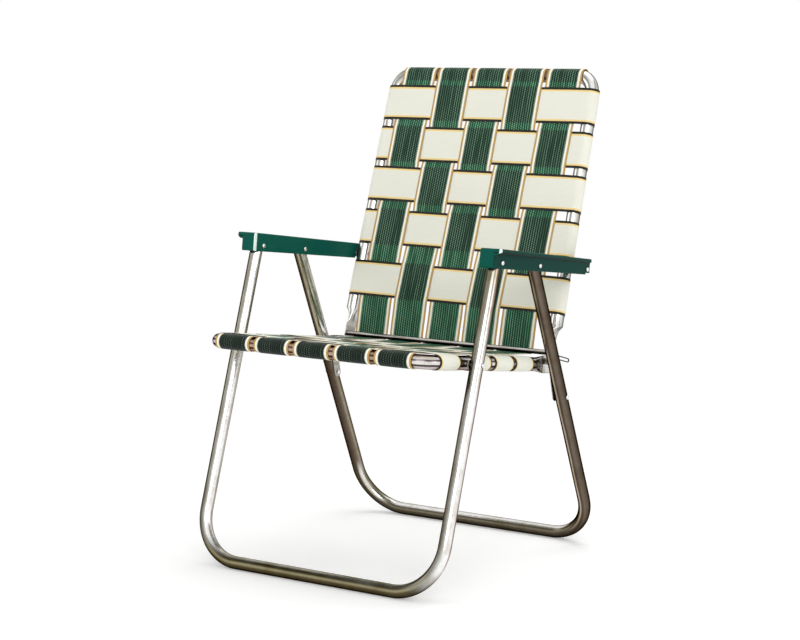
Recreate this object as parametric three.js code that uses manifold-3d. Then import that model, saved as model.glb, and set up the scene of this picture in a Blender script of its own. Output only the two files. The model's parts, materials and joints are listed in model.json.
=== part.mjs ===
// Folding lawn chair with a woven webbing seat and back, open and ready to sit in.
// Millimetres, +Z up. The sitter faces -Y and X runs across the chair.
// The origin is on the floor, in the middle of the box that the chair fills.

import * as THREE from 'three';
import { mergeVertices } from 'three/addons/utils/BufferGeometryUtils.js';
import Module from 'manifold-3d';

const wasm = await Module();
wasm.setup();

const degrees = Math.PI / 180;

// Tubes and wire
const legTubeDiameter = 23.8;
const railTubeDiameter = 25.4;
const tubeWall = 1.2;
const tubeSides = 12;
const bendSteps = 6;
const rodDiameter = 9.5;
const wireDiameter = 2.4;

// Clearances between neighbouring pieces
const clearance = 0.3;
const wrapClearance = 0.4;

// Legs
const legLean = 18;
const frontLegLength = 581;
const rearLegSlope = 66.663;
const legBendRadius = 88;
const frontLegOverrun = 10;
const rearLegOverrun = 7;

// Arm rivets, measured along the rivet line
const armSlope = 7.1;
const armRearLegRivet = 128.5;
const armBackRivet = 300.5;

// Seat frame, which hangs between the legs
const seatCentreSpan = 460;
const seatSideGap = 3.9;
const seatSlope = 7.6;
const seatPivotDrop = 180.2;
const seatPivotBelowRail = 1.5;
const seatFrontOverhang = 116.6;
const seatPlateOverrun = 22;
const seatBendRadius = 36;

// Back frame
const backTopInset = 9;
const backAboveArm = 367.4;
const backPlateOverrun = 16;
const backBendRadius = 34;

// Flattened tube ends
const crimpStart = 66;
const crimpEnd = 34;
const plateThickness = 2.8;
const plateHeight = 32;
const plateSeparation = 5.6;
const slitWidth = 0.5;

// Link between seat and rear leg
const linkSeatInset = 24.5;
const linkSeatRise = 5;
const linkLegDistance = 272.5;
const linkThickness = 1.6;
const linkWidth = 18;
const linkToLeg = 0.65;

// Cross rod under the bend of the webbing
const rodAbovePivot = 19;
const rodForward = 8;
const rodEndProud = 0.4;

// Rivets, washers and spacers
const rivetDiameter = 6;
const rivetHeadDiameter = 12.4;
const rivetHeadHeight = 2.8;
const lowHeadHeight = 1.5;
const rivetSides = 10;
const washerDiameter = 16;
const spacerDiameter = 12;

// Arms
const armFrontReach = 28;
const armRearReach = 9;
const armTopAtFront = 23.5;
const armTopAtRear = 19.5;
const armBottomAtFront = 10.5;
const armBottomAtRear = 9.5;
const armWall = 2.6;
const armTopThickness = 2.6;
const armNoseRadius = 5;
const armLipFrontWidth = 12.5;
const armLipRearWidth = 3;
const armLipThickness = 6.8;
const armNotchLength = 14;
const armNotchHeight = 3;

// Webbing
const webThickness = 1;
const webGap = 0.4;
const longStrapWidth = 76;
const longStrapGap = 5.6;
const frontStrapGap = 9.7;
const backCrossWidth = 70;
const seatCrossWidth = 65;
const crossSlack = 0.8;
const crossStrapGap = 4;
const backUpperGapShares = [0.1907, 0.2154, 0.1927, 0.2609];
const backLowerGapShares = [0.1059];
const seatFrontGapShares = [0.4424];
const seatRearGapShares = [0.0944, 0.518, 0.1797];
const strapHookTurn = 190;
const seatStrapStop = 75;
const strapLeaveDistance = 6;

// Keeper wire behind the seat pivot
const keeperReach = 58;
const keeperEyeRadius = 4.8;
const keeperRise = 17.9;
const keeperDroop = 15;
const keeperLoopGap = 6.4;
const keeperSteps = 28;

// Points and directions in the side view, as (y, z)
const side = (y, z) => new THREE.Vector2(y, z);
const heading = (angle) => side(Math.cos(angle * degrees), Math.sin(angle * degrees));
const step = (from, direction, distance) => from.clone().addScaledVector(direction, distance);

const legRadius = legTubeDiameter / 2;
const railRadius = railTubeDiameter / 2;
const rivetRadius = rivetDiameter / 2;
const holeRadius = rivetRadius + clearance;
const facetShare = Math.cos(Math.PI / tubeSides);

const upLeg = heading(90 - legLean);
const downRearLeg = heading(-rearLegSlope);
const alongArm = heading(-armSlope);
const alongSeat = heading(-seatSlope);
const seatUp = heading(90 - seatSlope);

// Pivots, first from the middle of the front floor bar, then moved to the origin
const floorHeight = legRadius * facetShare;
const chain = {};
chain.frontBar = side(0, floorHeight);
chain.armFront = step(chain.frontBar, upLeg, frontLegLength);
chain.armMiddle = step(chain.armFront, alongArm, armRearLegRivet);
chain.armRear = step(chain.armFront, alongArm, armBackRivet);
chain.seatFront = step(chain.armFront, upLeg, -seatPivotDrop);
chain.seatRear = step(chain.seatFront, alongArm, armBackRivet);
chain.frontRail = step(step(chain.seatFront, alongSeat, -seatFrontOverhang), seatUp, seatPivotBelowRail);
chain.topRail = step(chain.armRear, upLeg, backAboveArm);
const rearLegLength = (floorHeight - chain.armMiddle.y) / downRearLeg.y;
chain.rearBar = step(chain.armMiddle, downRearLeg, rearLegLength);
chain.linkTop = step(step(chain.seatRear, alongArm, -linkSeatInset), heading(90 - armSlope), linkSeatRise);
chain.linkBottom = step(chain.armMiddle, downRearLeg, linkLegDistance);
chain.rod = step(step(chain.seatRear, upLeg, rodAbovePivot), heading(180 - legLean), rodForward);

const seatHalf = seatCentreSpan / 2;
const legHalf = seatHalf + railRadius + seatSideGap + legRadius;
const wrapReach = railRadius + wrapClearance + webThickness;
const frontReach = Math.min(chain.frontRail.x - wrapReach, chain.frontBar.x - floorHeight);
const rearReach = chain.topRail.x + wrapReach;
const middle = (frontReach + rearReach) / 2;
for (const point of Object.values(chain)) {
  point.x -= middle;
}

// Solids
function toSolid(geometry) {
  const bare = geometry.clone();
  bare.deleteAttribute('normal');
  bare.deleteAttribute('uv');
  const merged = mergeVertices(bare, 1e-4);
  return new wasm.Manifold(new wasm.Mesh({
    numProp: 3,
    vertProperties: new Float32Array(merged.attributes.position.array),
    triVerts: new Uint32Array(merged.index.array),
  }));
}

function toGeometry(solid) {
  const mesh = solid.getMesh();
  const geometry = new THREE.BufferGeometry();
  geometry.setAttribute('position', new THREE.BufferAttribute(new Float32Array(mesh.vertProperties), 3));
  geometry.setIndex(new THREE.BufferAttribute(new Uint32Array(mesh.triVerts), 1));
  geometry.computeVertexNormals();
  return geometry;
}

// A round bar along X between two x values, centred on a side-view point
function crossBar(radius, xStart, xEnd, at, sides = rivetSides) {
  const bar = new THREE.CylinderGeometry(radius, radius, xEnd - xStart, sides);
  bar.rotateZ(-Math.PI / 2);
  bar.translate((xStart + xEnd) / 2, at.x, at.y);
  return bar;
}

function drill(geometry, points, radius = holeRadius) {
  let solid = toSolid(geometry);
  for (const point of points) {
    solid = solid.subtract(toSolid(crossBar(radius, -2 * legHalf, 2 * legHalf, point)));
  }
  return toGeometry(solid);
}

// Joins rings of equal length into one closed surface whose last ring meets its first
function ringLoop(rings) {
  const count = rings[0].length;
  const positions = rings.flat().flatMap((p) => [p.x, p.y, p.z]);
  const index = [];
  for (let i = 0; i < rings.length; i++) {
    const a = i * count;
    const b = ((i + 1) % rings.length) * count;
    for (let k = 0; k < count; k++) {
      const n = (k + 1) % count;
      index.push(a + k, b + k, b + n, a + k, b + n, a + n);
    }
  }
  const geometry = new THREE.BufferGeometry();
  geometry.setAttribute('position', new THREE.Float32BufferAttribute(positions, 3));
  geometry.setIndex(index);
  geometry.computeVertexNormals();
  return geometry;
}

// An outline in the side view, given thickness along X
function extrudeAcross(shape, xStart, xEnd) {
  const geometry = new THREE.ExtrudeGeometry(shape, { depth: xEnd - xStart, bevelEnabled: false });
  const basis = new THREE.Matrix4().makeBasis(
    new THREE.Vector3(0, 1, 0), new THREE.Vector3(0, 0, 1), new THREE.Vector3(1, 0, 0));
  geometry.applyMatrix4(basis);
  geometry.translate(xStart, 0, 0);
  return geometry;
}

// U frames: a bar across the chair with two sides, all in one plane
// bar is the side-view centre of the bar, and away is the side-view direction of the sides from it.
function uPlane(bar, away) {
  const sides3 = new THREE.Vector3(0, away.x, away.y);
  const normal = new THREE.Vector3(1, 0, 0).cross(sides3);
  const place = (x, s, h) => new THREE.Vector3(x, bar.x, bar.y).addScaledVector(sides3, s).addScaledVector(normal, h);
  return { bar, away, sides3, normal, place };
}

// Stations down the left side, along the bar and up the right side
function uStations({ halfBar, halfEnd, length, bendRadius, ends }) {
  const slope = Math.atan2(halfEnd - halfBar, length);
  const tangentLength = bendRadius * Math.tan((Math.PI / 2 + slope) / 2);
  const rightSide = (s) => halfBar + (halfEnd - halfBar) * (s / length);
  const right = [];
  const sideDirection = new THREE.Vector2(Math.sin(slope), Math.cos(slope));
  const centre = new THREE.Vector2(halfBar - tangentLength, bendRadius);
  for (let i = 0; i <= bendSteps; i++) {
    const turn = (i / bendSteps) * (Math.PI / 2 - slope);
    const at = new THREE.Vector2(Math.sin(turn), -Math.cos(turn)).multiplyScalar(bendRadius).add(centre);
    right.push({ x: at.x, s: at.y, tx: Math.cos(turn), ts: Math.sin(turn), end: ends[0] });
  }
  for (const end of ends) {
    const s = length - end.fromEnd;
    right.push({ x: rightSide(s), s, tx: sideDirection.x, ts: sideDirection.y, end });
  }
  const left = right.map((r) => ({ ...r, x: -r.x, ts: -r.ts })).reverse();
  return [...left, ...right];
}

function sectionRing(plane, station, halfAcross, halfNormal, shift, square, phase) {
  const outward = new THREE.Vector3(station.ts, 0, 0).addScaledVector(plane.sides3, -station.tx);
  const centre = plane.place(station.x, station.s, 0).addScaledVector(outward, shift);
  const ring = [];
  for (let k = 0; k < tubeSides; k++) {
    const angle = phase + ((k + 0.5) / tubeSides) * 2 * Math.PI;
    const c = Math.cos(angle);
    const n = Math.sin(angle);
    ring.push(centre.clone()
      .addScaledVector(outward, halfAcross * Math.sign(c) * Math.abs(c) ** square)
      .addScaledVector(plane.normal, halfNormal * Math.sign(n) * Math.abs(n) ** square));
  }
  return ring;
}

// A hollow tube through the stations, open at both ends
function hollowFrame(plane, stations, phase = 0) {
  const outer = [];
  const inner = [];
  for (const station of stations) {
    const { halfAcross, halfNormal, shift, square } = station.end;
    outer.push(sectionRing(plane, station, halfAcross, halfNormal, shift, square, phase));
    const hollowAcross = Math.max(halfAcross - tubeWall, slitWidth / 2);
    const hollowNormal = Math.max(halfNormal - tubeWall, slitWidth / 2);
    inner.push(sectionRing(plane, station, hollowAcross, hollowNormal, shift, square, phase));
  }
  return ringLoop([...outer, ...inner.reverse()]);
}

const roundEnd = (radius) => ({ halfAcross: radius, halfNormal: radius, shift: 0, square: 1 });

// Flattened end: the tube leans to one side as it flattens, then runs as a plate with a rounded end.
// The shares are of the crimp's length, the tube's radius and the plate's height.
function crimpedEnd(direction, pivotFromEnd) {
  const crimpShares = [
    { along: 0, shift: 0, across: 1, normal: 1, square: 1 },
    { along: 0.35, shift: 0.42, across: 0.58, normal: 1.1, square: 0.9 },
    { along: 0.7, shift: 0.5, across: 0.26, normal: 1.2, square: 0.6 },
  ];
  const ends = crimpShares.map((c) => ({
    fromEnd: pivotFromEnd + crimpStart - c.along * (crimpStart - crimpEnd),
    shift: direction * c.shift * railRadius,
    halfAcross: c.across * railRadius,
    halfNormal: c.normal * railRadius,
    square: c.square,
  }));
  const plate = {
    shift: direction * plateSeparation / 2,
    halfAcross: plateThickness / 2,
    square: 0.4,
  };
  const halfHeight = plateHeight / 2;
  ends.push({ ...plate, fromEnd: pivotFromEnd + crimpEnd, halfNormal: halfHeight });
  const roundingAngles = [0, 30, 55, 75];
  for (const angle of roundingAngles) {
    ends.push({
      ...plate,
      fromEnd: halfHeight - halfHeight * Math.sin(angle * degrees),
      halfNormal: halfHeight * Math.cos(angle * degrees),
    });
  }
  return ends;
}

// Frames
const frontPlane = uPlane(chain.frontBar, upLeg);
const frontStations = uStations({
  halfBar: legHalf,
  halfEnd: legHalf,
  length: frontLegLength + frontLegOverrun,
  bendRadius: legBendRadius,
  ends: [{ ...roundEnd(legRadius), fromEnd: 0 }],
});
const rearPlane = uPlane(chain.rearBar, downRearLeg.clone().negate());
const rearStations = uStations({
  halfBar: legHalf,
  halfEnd: legHalf,
  length: rearLegLength + rearLegOverrun,
  bendRadius: legBendRadius,
  ends: [{ ...roundEnd(legRadius), fromEnd: 0 }],
});

const seatPlane = uPlane(chain.frontRail, alongSeat);
const seatPivotAlong = chain.seatRear.clone().sub(chain.frontRail).dot(alongSeat);
const seatStations = uStations({
  halfBar: seatHalf,
  halfEnd: seatHalf,
  length: seatPivotAlong + seatPlateOverrun,
  bendRadius: seatBendRadius,
  ends: crimpedEnd(1, seatPlateOverrun),
});

const backPlane = uPlane(chain.topRail, upLeg.clone().negate());
const backPivotAlong = backAboveArm + seatPivotDrop;
const backLength = backPivotAlong + backPlateOverrun;
const backHalfTop = seatHalf - backTopInset;
const backHalfEnd = backHalfTop + (seatHalf - backHalfTop) * (backLength / backPivotAlong);
const backHalfAt = (s) => backHalfTop + (seatHalf - backHalfTop) * (s / backPivotAlong);
const backStations = uStations({
  halfBar: backHalfTop,
  halfEnd: backHalfEnd,
  length: backLength,
  bendRadius: backBendRadius,
  ends: crimpedEnd(-1, backPlateOverrun),
});

// Layers across the chair, as x distances from the middle
const legInner = legHalf - legRadius;
const legOuter = legHalf + legRadius;
const seatPlateX = seatHalf + plateSeparation / 2;
const backPlateX = seatHalf - plateSeparation / 2;
const seatPlateOuter = seatPlateX + plateThickness / 2;
const seatPlateInner = seatPlateX - plateThickness / 2;
const backPlateOuter = backPlateX + plateThickness / 2;
const backPlateInner = backPlateX - plateThickness / 2;
const keeperX = seatPlateOuter + clearance + wireDiameter / 2;
const keeperOuter = keeperX + wireDiameter / 2;
const linkOuter = legInner - linkToLeg;
const linkInner = linkOuter - linkThickness;
const armInnerFace = legInner - clearance - armWall;
const armOuterFace = legOuter + clearance + armWall;
const backHalfAtArm = backHalfAt(backAboveArm);
const backInner = backHalfAtArm - railRadius;
const backOuter = backHalfAtArm + railRadius;

// Rivets: a shank with a domed head at each end, or an end left flush where a head's height is zero
function rivet(xStart, xEnd, at, innerHead = rivetHeadHeight, outerHead = rivetHeadHeight) {
  const radiusShares = [1, 1, 0.72, 0];
  const heightShares = [0, 0.35, 0.8, 1];
  const headRadius = rivetHeadDiameter / 2;
  const end = (x, direction, height) => {
    if (height === 0) {
      return [new THREE.Vector2(rivetRadius, x), new THREE.Vector2(0, x)];
    }
    const face = x + direction * clearance;
    const dome = radiusShares.map((r, k) => new THREE.Vector2(
      r * headRadius, face + direction * heightShares[k] * height));
    return [new THREE.Vector2(rivetRadius, face), ...dome];
  };
  const profile = [...end(xStart, -1, innerHead).reverse(), ...end(xEnd, 1, outerHead)];
  const geometry = new THREE.LatheGeometry(profile, rivetSides);
  geometry.rotateZ(-Math.PI / 2);
  geometry.translate(0, at.x, at.y);
  return geometry;
}

// A washer or spacer round a rivet
function collar(xStart, xEnd, at, diameter) {
  const inner = holeRadius;
  const outer = diameter / 2;
  const profile = [
    new THREE.Vector2(inner, xStart),
    new THREE.Vector2(outer, xStart),
    new THREE.Vector2(outer, xEnd),
    new THREE.Vector2(inner, xEnd),
    new THREE.Vector2(inner, xStart),
  ];
  const geometry = new THREE.LatheGeometry(profile, rivetSides);
  geometry.rotateZ(-Math.PI / 2);
  geometry.translate(0, at.x, at.y);
  return geometry;
}

// Link bar with round ends and a hole at each end
function linkBar() {
  const run = chain.linkBottom.clone().sub(chain.linkTop);
  const down = Math.atan2(run.y, run.x);
  const arcSteps = 8;
  const roundEndPoints = (at, from) => Array.from({ length: arcSteps + 1 }, (_, k) => {
    const angle = from + (Math.PI * k) / arcSteps;
    return side(at.x + (linkWidth / 2) * Math.cos(angle), at.y + (linkWidth / 2) * Math.sin(angle));
  });
  const shape = new THREE.Shape([
    ...roundEndPoints(chain.linkTop, down + Math.PI / 2),
    ...roundEndPoints(chain.linkBottom, down - Math.PI / 2),
  ]);
  return drill(extrudeAcross(shape, linkInner, linkOuter), [chain.linkTop, chain.linkBottom]);
}

// Arm: a channel open below and behind, with a closed rounded nose and a lip along its outer top edge
const armAcross = heading(90 - armSlope);
const armPoint = (a, h) => step(step(chain.armFront, alongArm, a), armAcross, h);
const armStart = -armFrontReach;
const armEnd = armBackRivet + armRearReach;
const armTopAt = (a) => THREE.MathUtils.mapLinear(a, armStart + armNoseRadius, armEnd, armTopAtFront, armTopAtRear);
const armBottomAt = (a) => -THREE.MathUtils.mapLinear(a, armStart, armEnd, armBottomAtFront, armBottomAtRear);

function armProfile(inset, topInset, openBelow) {
  const start = armStart + inset;
  const end = openBelow ? armEnd + armWall : armEnd;
  const drop = openBelow ? armBottomAtFront : 0;
  const radius = armNoseRadius - inset;
  const points = [];
  const noseSteps = 5;
  for (let i = 0; i <= noseSteps; i++) {
    const turn = Math.PI - (i / noseSteps) * (Math.PI / 2);
    const a = start + radius + radius * Math.cos(turn);
    const h = armTopAtFront - topInset - radius + radius * Math.sin(turn);
    points.push(armPoint(a, h));
  }
  points.push(armPoint(end, armTopAt(end) - topInset));
  if (openBelow) {
    points.push(armPoint(end, armBottomAt(end) - drop));
  } else {
    points.push(armPoint(end, armBottomAt(end) + armNotchHeight));
    points.push(armPoint(end - armNotchLength, armBottomAt(end) + armNotchHeight));
    points.push(armPoint(end - armNotchLength, armBottomAt(end)));
  }
  points.push(armPoint(start + (openBelow ? 0 : radius / 2), armBottomAt(start) - drop));
  if (!openBelow) {
    points.push(armPoint(start, armBottomAt(start) + radius / 2));
  }
  return new THREE.Shape(points);
}

// The lip starts behind the nose's rounding and gets narrower towards the rear
function armLip() {
  const start = armStart + armNoseRadius;
  const shape = new THREE.Shape([
    armPoint(start, armTopAt(start)),
    armPoint(start - armNoseRadius, armTopAt(start) - armNoseRadius),
    armPoint(start - armNoseRadius, armTopAt(start) - armLipThickness),
    armPoint(armEnd, armTopAt(armEnd) - armLipThickness),
    armPoint(armEnd, armTopAt(armEnd)),
  ]);
  const lip = extrudeAcross(shape, armOuterFace - armWall, armOuterFace + armLipFrontWidth);
  const position = lip.attributes.position;
  for (let i = 0; i < position.count; i++) {
    if (position.getX(i) > armOuterFace) {
      const a = side(position.getY(i), position.getZ(i)).sub(chain.armFront).dot(alongArm);
      const width = THREE.MathUtils.mapLinear(a, armStart, armEnd, armLipFrontWidth, armLipRearWidth);
      position.setX(i, armOuterFace + width);
    }
  }
  return lip;
}

function armBody() {
  const shell = toSolid(extrudeAcross(armProfile(0, 0, false), armInnerFace, armOuterFace));
  const channel = toSolid(extrudeAcross(
    armProfile(armWall, armTopThickness, true), armInnerFace + armWall, armOuterFace - armWall));
  let solid = shell.subtract(channel).add(toSolid(armLip()));
  for (const at of [chain.armFront, chain.armMiddle, chain.armRear]) {
    solid = solid.subtract(toSolid(crossBar(holeRadius, 0, 2 * legHalf, at)));
  }
  return toGeometry(solid);
}

// Webbing: each strap is a ribbon that passes over and under the straps that it crosses
const underLevel = railRadius + wrapClearance + webThickness / 2;
const overLevel = underLevel + webThickness + webGap;
const hookRadius = underLevel;

// A closed outline round a centre line
function ribbon(points, thickness = webThickness) {
  const left = [];
  const right = [];
  points.forEach((point, i) => {
    const before = points[Math.max(i - 1, 0)];
    const after = points[Math.min(i + 1, points.length - 1)];
    const a = point.clone().sub(before).normalize();
    const b = after.clone().sub(point).normalize();
    const along = a.clone().add(b).normalize();
    const miter = i === 0 || i === points.length - 1 ? 1 : 1 / along.dot(b);
    const offset = new THREE.Vector2(-along.y, along.x).multiplyScalar(miter * thickness / 2);
    left.push(point.clone().add(offset));
    right.push(point.clone().sub(offset));
  });
  return new THREE.Shape([...left, ...right.reverse()]);
}

// Hook round a rail at (0, 0): from above it, past the side that sign gives, to underneath
function hook(sign, centre = 0) {
  const points = [];
  const hookSteps = 11;
  for (let k = 0; k <= hookSteps; k++) {
    const turn = (k / hookSteps) * strapHookTurn * degrees;
    points.push(new THREE.Vector2(centre + sign * hookRadius * Math.sin(turn), hookRadius * Math.cos(turn)));
  }
  return points;
}

// Levels along a strap: crossings is a list of [start, end, isOver]
function weave(crossings) {
  return crossings.flatMap(([start, end, isOver]) => {
    const level = isOver ? overLevel : underLevel;
    return [new THREE.Vector2(start, level), new THREE.Vector2(end, level)];
  });
}

// As many cross straps as fit from start to end, each past its share of the length that they leave free
function crossPlaces(gapShares, width, start, end) {
  const count = Math.min(gapShares.length, Math.floor((end - start) / (width + crossStrapGap)));
  const free = end - start - count * width;
  let edge = start;
  return gapShares.slice(0, count).map((share) => {
    edge += share * free + width;
    return edge - width / 2;
  });
}

const backCrossHalf = backCrossWidth / 2;
const seatCrossHalf = seatCrossWidth / 2;
const longHalf = longStrapWidth / 2;
const seatStrapEnd = seatPivotAlong - seatStrapStop;

// The cross straps keep clear of the wrapped rails, the rivets' washers and the rod
const wrappedRail = railRadius + wrapClearance + webThickness;
const besideRivet = washerDiameter / 2 + clearance;
const aboveRod = backPivotAlong - rodAbovePivot - rodDiameter;
const backStrapDistances = [
  ...crossPlaces(backUpperGapShares, backCrossWidth, wrappedRail, backAboveArm - besideRivet),
  ...crossPlaces(backLowerGapShares, backCrossWidth, backAboveArm + besideRivet, aboveRod),
];
const seatStrapDistances = [
  ...crossPlaces(seatFrontGapShares, seatCrossWidth, wrappedRail, seatFrontOverhang - besideRivet),
  ...crossPlaces(seatRearGapShares, seatCrossWidth, seatFrontOverhang + besideRivet, seatStrapEnd),
];

// As many long straps as fit between the back's rails. They spread out over the seat, towards its front rail.
const roomForStraps = 2 * (backHalfTop - railRadius) + longStrapGap;
const longStrapCount = Math.floor(roomForStraps / (longStrapWidth + longStrapGap));
const fromMiddle = (i) => i - (longStrapCount - 1) / 2;
const longStrapX = (i) => fromMiddle(i) * (longStrapWidth + longStrapGap);
const spreadAt = (i, s) => fromMiddle(i) * (frontStrapGap - longStrapGap) * (1 - s / seatStrapEnd);
const crossOverLong = (row, i) => (row + i) % 2 === 0;
const seatRow = (j) => backStrapDistances.length + seatStrapDistances.length - 1 - j;

// Plane points (s, h) of a frame as side-view points; facing is +1 where the webbing is on the normal's side
const toSide = (plane, facing) => (p) => {
  const at = plane.place(0, p.x, facing * p.y);
  return side(at.y, at.z);
};

// A long strap over the seat: hooked round the front rail, it ends short of the back's pivot
function seatLongStrap(i) {
  const crossings = seatStrapDistances.map((s, j) => [
    s - seatCrossHalf, s + seatCrossHalf, !crossOverLong(seatRow(j), i)]);
  const end = new THREE.Vector2(seatStrapEnd, underLevel);
  const path = [...hook(-1).reverse(), ...weave(crossings), end];
  const strap = extrudeAcross(
    ribbon(path.map(toSide(seatPlane, 1))), longStrapX(i) - longHalf, longStrapX(i) + longHalf);
  const position = strap.attributes.position;
  for (let k = 0; k < position.count; k++) {
    const s = side(position.getY(k), position.getZ(k)).sub(chain.frontRail).dot(alongSeat);
    position.setX(k, position.getX(k) + spreadAt(i, s));
  }
  return strap;
}

// The strap's flexible stretch from there to the cross rod
const rodWrapRadius = rodDiameter / 2 + wrapClearance + webThickness / 2;
function strapBend() {
  const start = toSide(seatPlane, 1)(new THREE.Vector2(seatStrapEnd + clearance, underLevel));
  const end = step(chain.rod, heading(-90 - armSlope), rodWrapRadius);
  return ribbon([start, step(end, heading(-armSlope), -clearance)]);
}

// A long strap up the back: from under the rod, behind it, up through the weave and over the top rail
function backLongStrap(i) {
  const aroundRod = [];
  const rodSteps = 6;
  for (let k = 0; k <= rodSteps; k++) {
    aroundRod.push(step(chain.rod, heading(-90 - armSlope + k * 90 / rodSteps), rodWrapRadius));
  }
  const crossings = backStrapDistances.map((s, row) => [
    s - backCrossHalf, s + backCrossHalf, !crossOverLong(row, i)]);
  const leave = new THREE.Vector2(crossings.at(-1)[1] + strapLeaveDistance, underLevel);
  const path = [...hook(-1).reverse(), ...weave(crossings), leave];
  return ribbon([...path.map(toSide(backPlane, -1)), ...aroundRod.reverse()]);
}

// A cross strap at distance s from the frame's bar, hooked round both sides. xOf places the long straps.
function crossStrap(plane, facing, s, width, row, railX, xOf) {
  const crossings = [];
  const half = longHalf + crossSlack;
  for (let i = 0; i < longStrapCount; i++) {
    crossings.push([xOf(i) - half, xOf(i) + half, crossOverLong(row, i)]);
  }
  const path = [...hook(-1, -railX).reverse(), ...weave(crossings), ...hook(1, railX)];
  const geometry = new THREE.ExtrudeGeometry(ribbon(path), { depth: width, bevelEnabled: false });
  const up = plane.normal.clone().multiplyScalar(facing);
  const across = new THREE.Vector3(1, 0, 0);
  const depth = across.clone().cross(up);
  geometry.applyMatrix4(new THREE.Matrix4().makeBasis(across, up, depth));
  const towards = Math.sign(depth.dot(plane.sides3));
  const origin = plane.place(0, s - (towards * width) / 2, 0);
  geometry.translate(origin.x, origin.y, origin.z);
  return geometry;
}

// Keeper wire: an eye round the seat pivot, then a hairpin that points to the rear
function keeperWire(x) {
  const eye = chain.seatRear;
  const points = [];
  const eyeStart = 110;
  const eyeEnd = 20;
  const eyeSteps = 8;
  for (let k = 0; k <= eyeSteps; k++) {
    const angle = eyeStart + ((360 + eyeEnd - eyeStart) * k) / eyeSteps;
    const at = step(eye, heading(angle), keeperEyeRadius);
    points.push(at);
  }
  const back = heading(-keeperDroop);
  const root = step(eye, side(0, 1), keeperRise);
  const upper = heading(90 - keeperDroop);
  points.push(step(root, back, keeperEyeRadius * 2));
  points.push(step(root, back, keeperReach * 0.6));
  points.push(step(root, back, keeperReach));
  for (const angle of [45, 0, -45]) {
    const centre = step(step(root, back, keeperReach), upper, -keeperLoopGap / 2);
    points.push(step(centre, heading(angle - keeperDroop), keeperLoopGap / 2));
  }
  points.push(step(step(root, back, keeperReach), upper, -keeperLoopGap));
  points.push(step(step(root, back, keeperReach / 2), upper, -keeperLoopGap));
  const curve = new THREE.CatmullRomCurve3(points.map((p) => new THREE.Vector3(x, p.x, p.y)), false, 'centripetal');
  const circle = new THREE.Shape();
  const wireSides = 6;
  for (let k = 0; k < wireSides; k++) {
    const angle = (2 * Math.PI * k) / wireSides;
    const px = (wireDiameter / 2) * Math.cos(angle);
    const py = (wireDiameter / 2) * Math.sin(angle);
    if (k === 0) {
      circle.moveTo(px, py);
    } else {
      circle.lineTo(px, py);
    }
  }
  return new THREE.ExtrudeGeometry(circle, { steps: keeperSteps, extrudePath: curve });
}

// Materials
const millAluminium = new THREE.MeshStandardMaterial({ color: 0xc9c6bf, roughness: 0.25, metalness: 1 });
const zincSteel = new THREE.MeshStandardMaterial({ color: 0xa9a7a2, roughness: 0.4, metalness: 1 });
const greenPlastic = new THREE.MeshStandardMaterial({ color: 0x0f5c43, roughness: 0.35, metalness: 0 });
const greenWeb = new THREE.MeshStandardMaterial({ color: 0x14543a, roughness: 0.8, metalness: 0 });
const creamWeb = new THREE.MeshStandardMaterial({ color: 0xf1efe2, roughness: 0.8, metalness: 0 });

const chair = new THREE.Group();
function add(name, geometry, material) {
  const mesh = new THREE.Mesh(geometry, material);
  mesh.name = name;
  chair.add(mesh);
}

const mirrored = (geometry) => {
  const copy = geometry.index ? geometry.toNonIndexed() : geometry.clone();
  const flipped = mergeVertices(stripped(copy), 1e-4);
  flipped.applyMatrix4(new THREE.Matrix4().makeScale(-1, 1, 1));
  const index = flipped.index.array;
  for (let i = 0; i < index.length; i += 3) {
    [index[i], index[i + 1]] = [index[i + 1], index[i]];
  }
  flipped.computeVertexNormals();
  return flipped;
};

function stripped(geometry) {
  geometry.deleteAttribute('normal');
  geometry.deleteAttribute('uv');
  return geometry;
}

// A piece made for the +X side, and its mirror image
function addPair(name, geometry, material) {
  add(`${name}_left`, geometry, material);
  add(`${name}_right`, mirrored(geometry), material);
}

// Frames with their rivet holes
const frontFrame = hollowFrame(frontPlane, frontStations, -legLean * degrees);
add('front_leg_frame', drill(frontFrame, [chain.armFront, chain.seatFront]), millAluminium);
const rearFrame = hollowFrame(rearPlane, rearStations, (90 - rearLegSlope) * degrees);
add('rear_leg_frame', drill(rearFrame, [chain.armMiddle, chain.linkBottom]), millAluminium);
const seatFrame = hollowFrame(seatPlane, seatStations);
add('seat_frame', drill(seatFrame, [chain.seatFront, chain.seatRear, chain.linkTop]), millAluminium);
const backFrame = drill(hollowFrame(backPlane, backStations), [chain.armRear, chain.seatRear]);
add('back_frame', drill(backFrame, [chain.rod], rodDiameter / 2 + clearance), millAluminium);

const rodEnd = backPlateOuter + rodEndProud;
add('cross_rod', crossBar(rodDiameter / 2, -rodEnd, rodEnd, chain.rod, tubeSides), zincSteel);

// Hardware
addPair('arm', armBody(), greenPlastic);
addPair('rivet_arm_front_leg', rivet(armInnerFace, armOuterFace, chain.armFront), zincSteel);
addPair('rivet_arm_rear_leg', rivet(armInnerFace, armOuterFace, chain.armMiddle), zincSteel);
addPair('rivet_arm_back', rivet(backInner, armOuterFace, chain.armRear), zincSteel);
addPair('washer_arm_back', collar(backOuter + clearance, armInnerFace - clearance, chain.armRear, washerDiameter),
  zincSteel);
addPair('rivet_seat_front_leg', rivet(seatHalf - railRadius, legOuter, chain.seatFront), zincSteel);
addPair('washer_seat_front_leg',
  collar(seatHalf + railRadius + clearance, legInner - clearance, chain.seatFront, washerDiameter), zincSteel);
addPair('rivet_seat_back', rivet(backPlateInner, keeperOuter, chain.seatRear), zincSteel);
addPair('washer_seat_back',
  collar(backPlateOuter + clearance, seatPlateInner - clearance, chain.seatRear, washerDiameter), zincSteel);
addPair('link', linkBar(), zincSteel);
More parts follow.
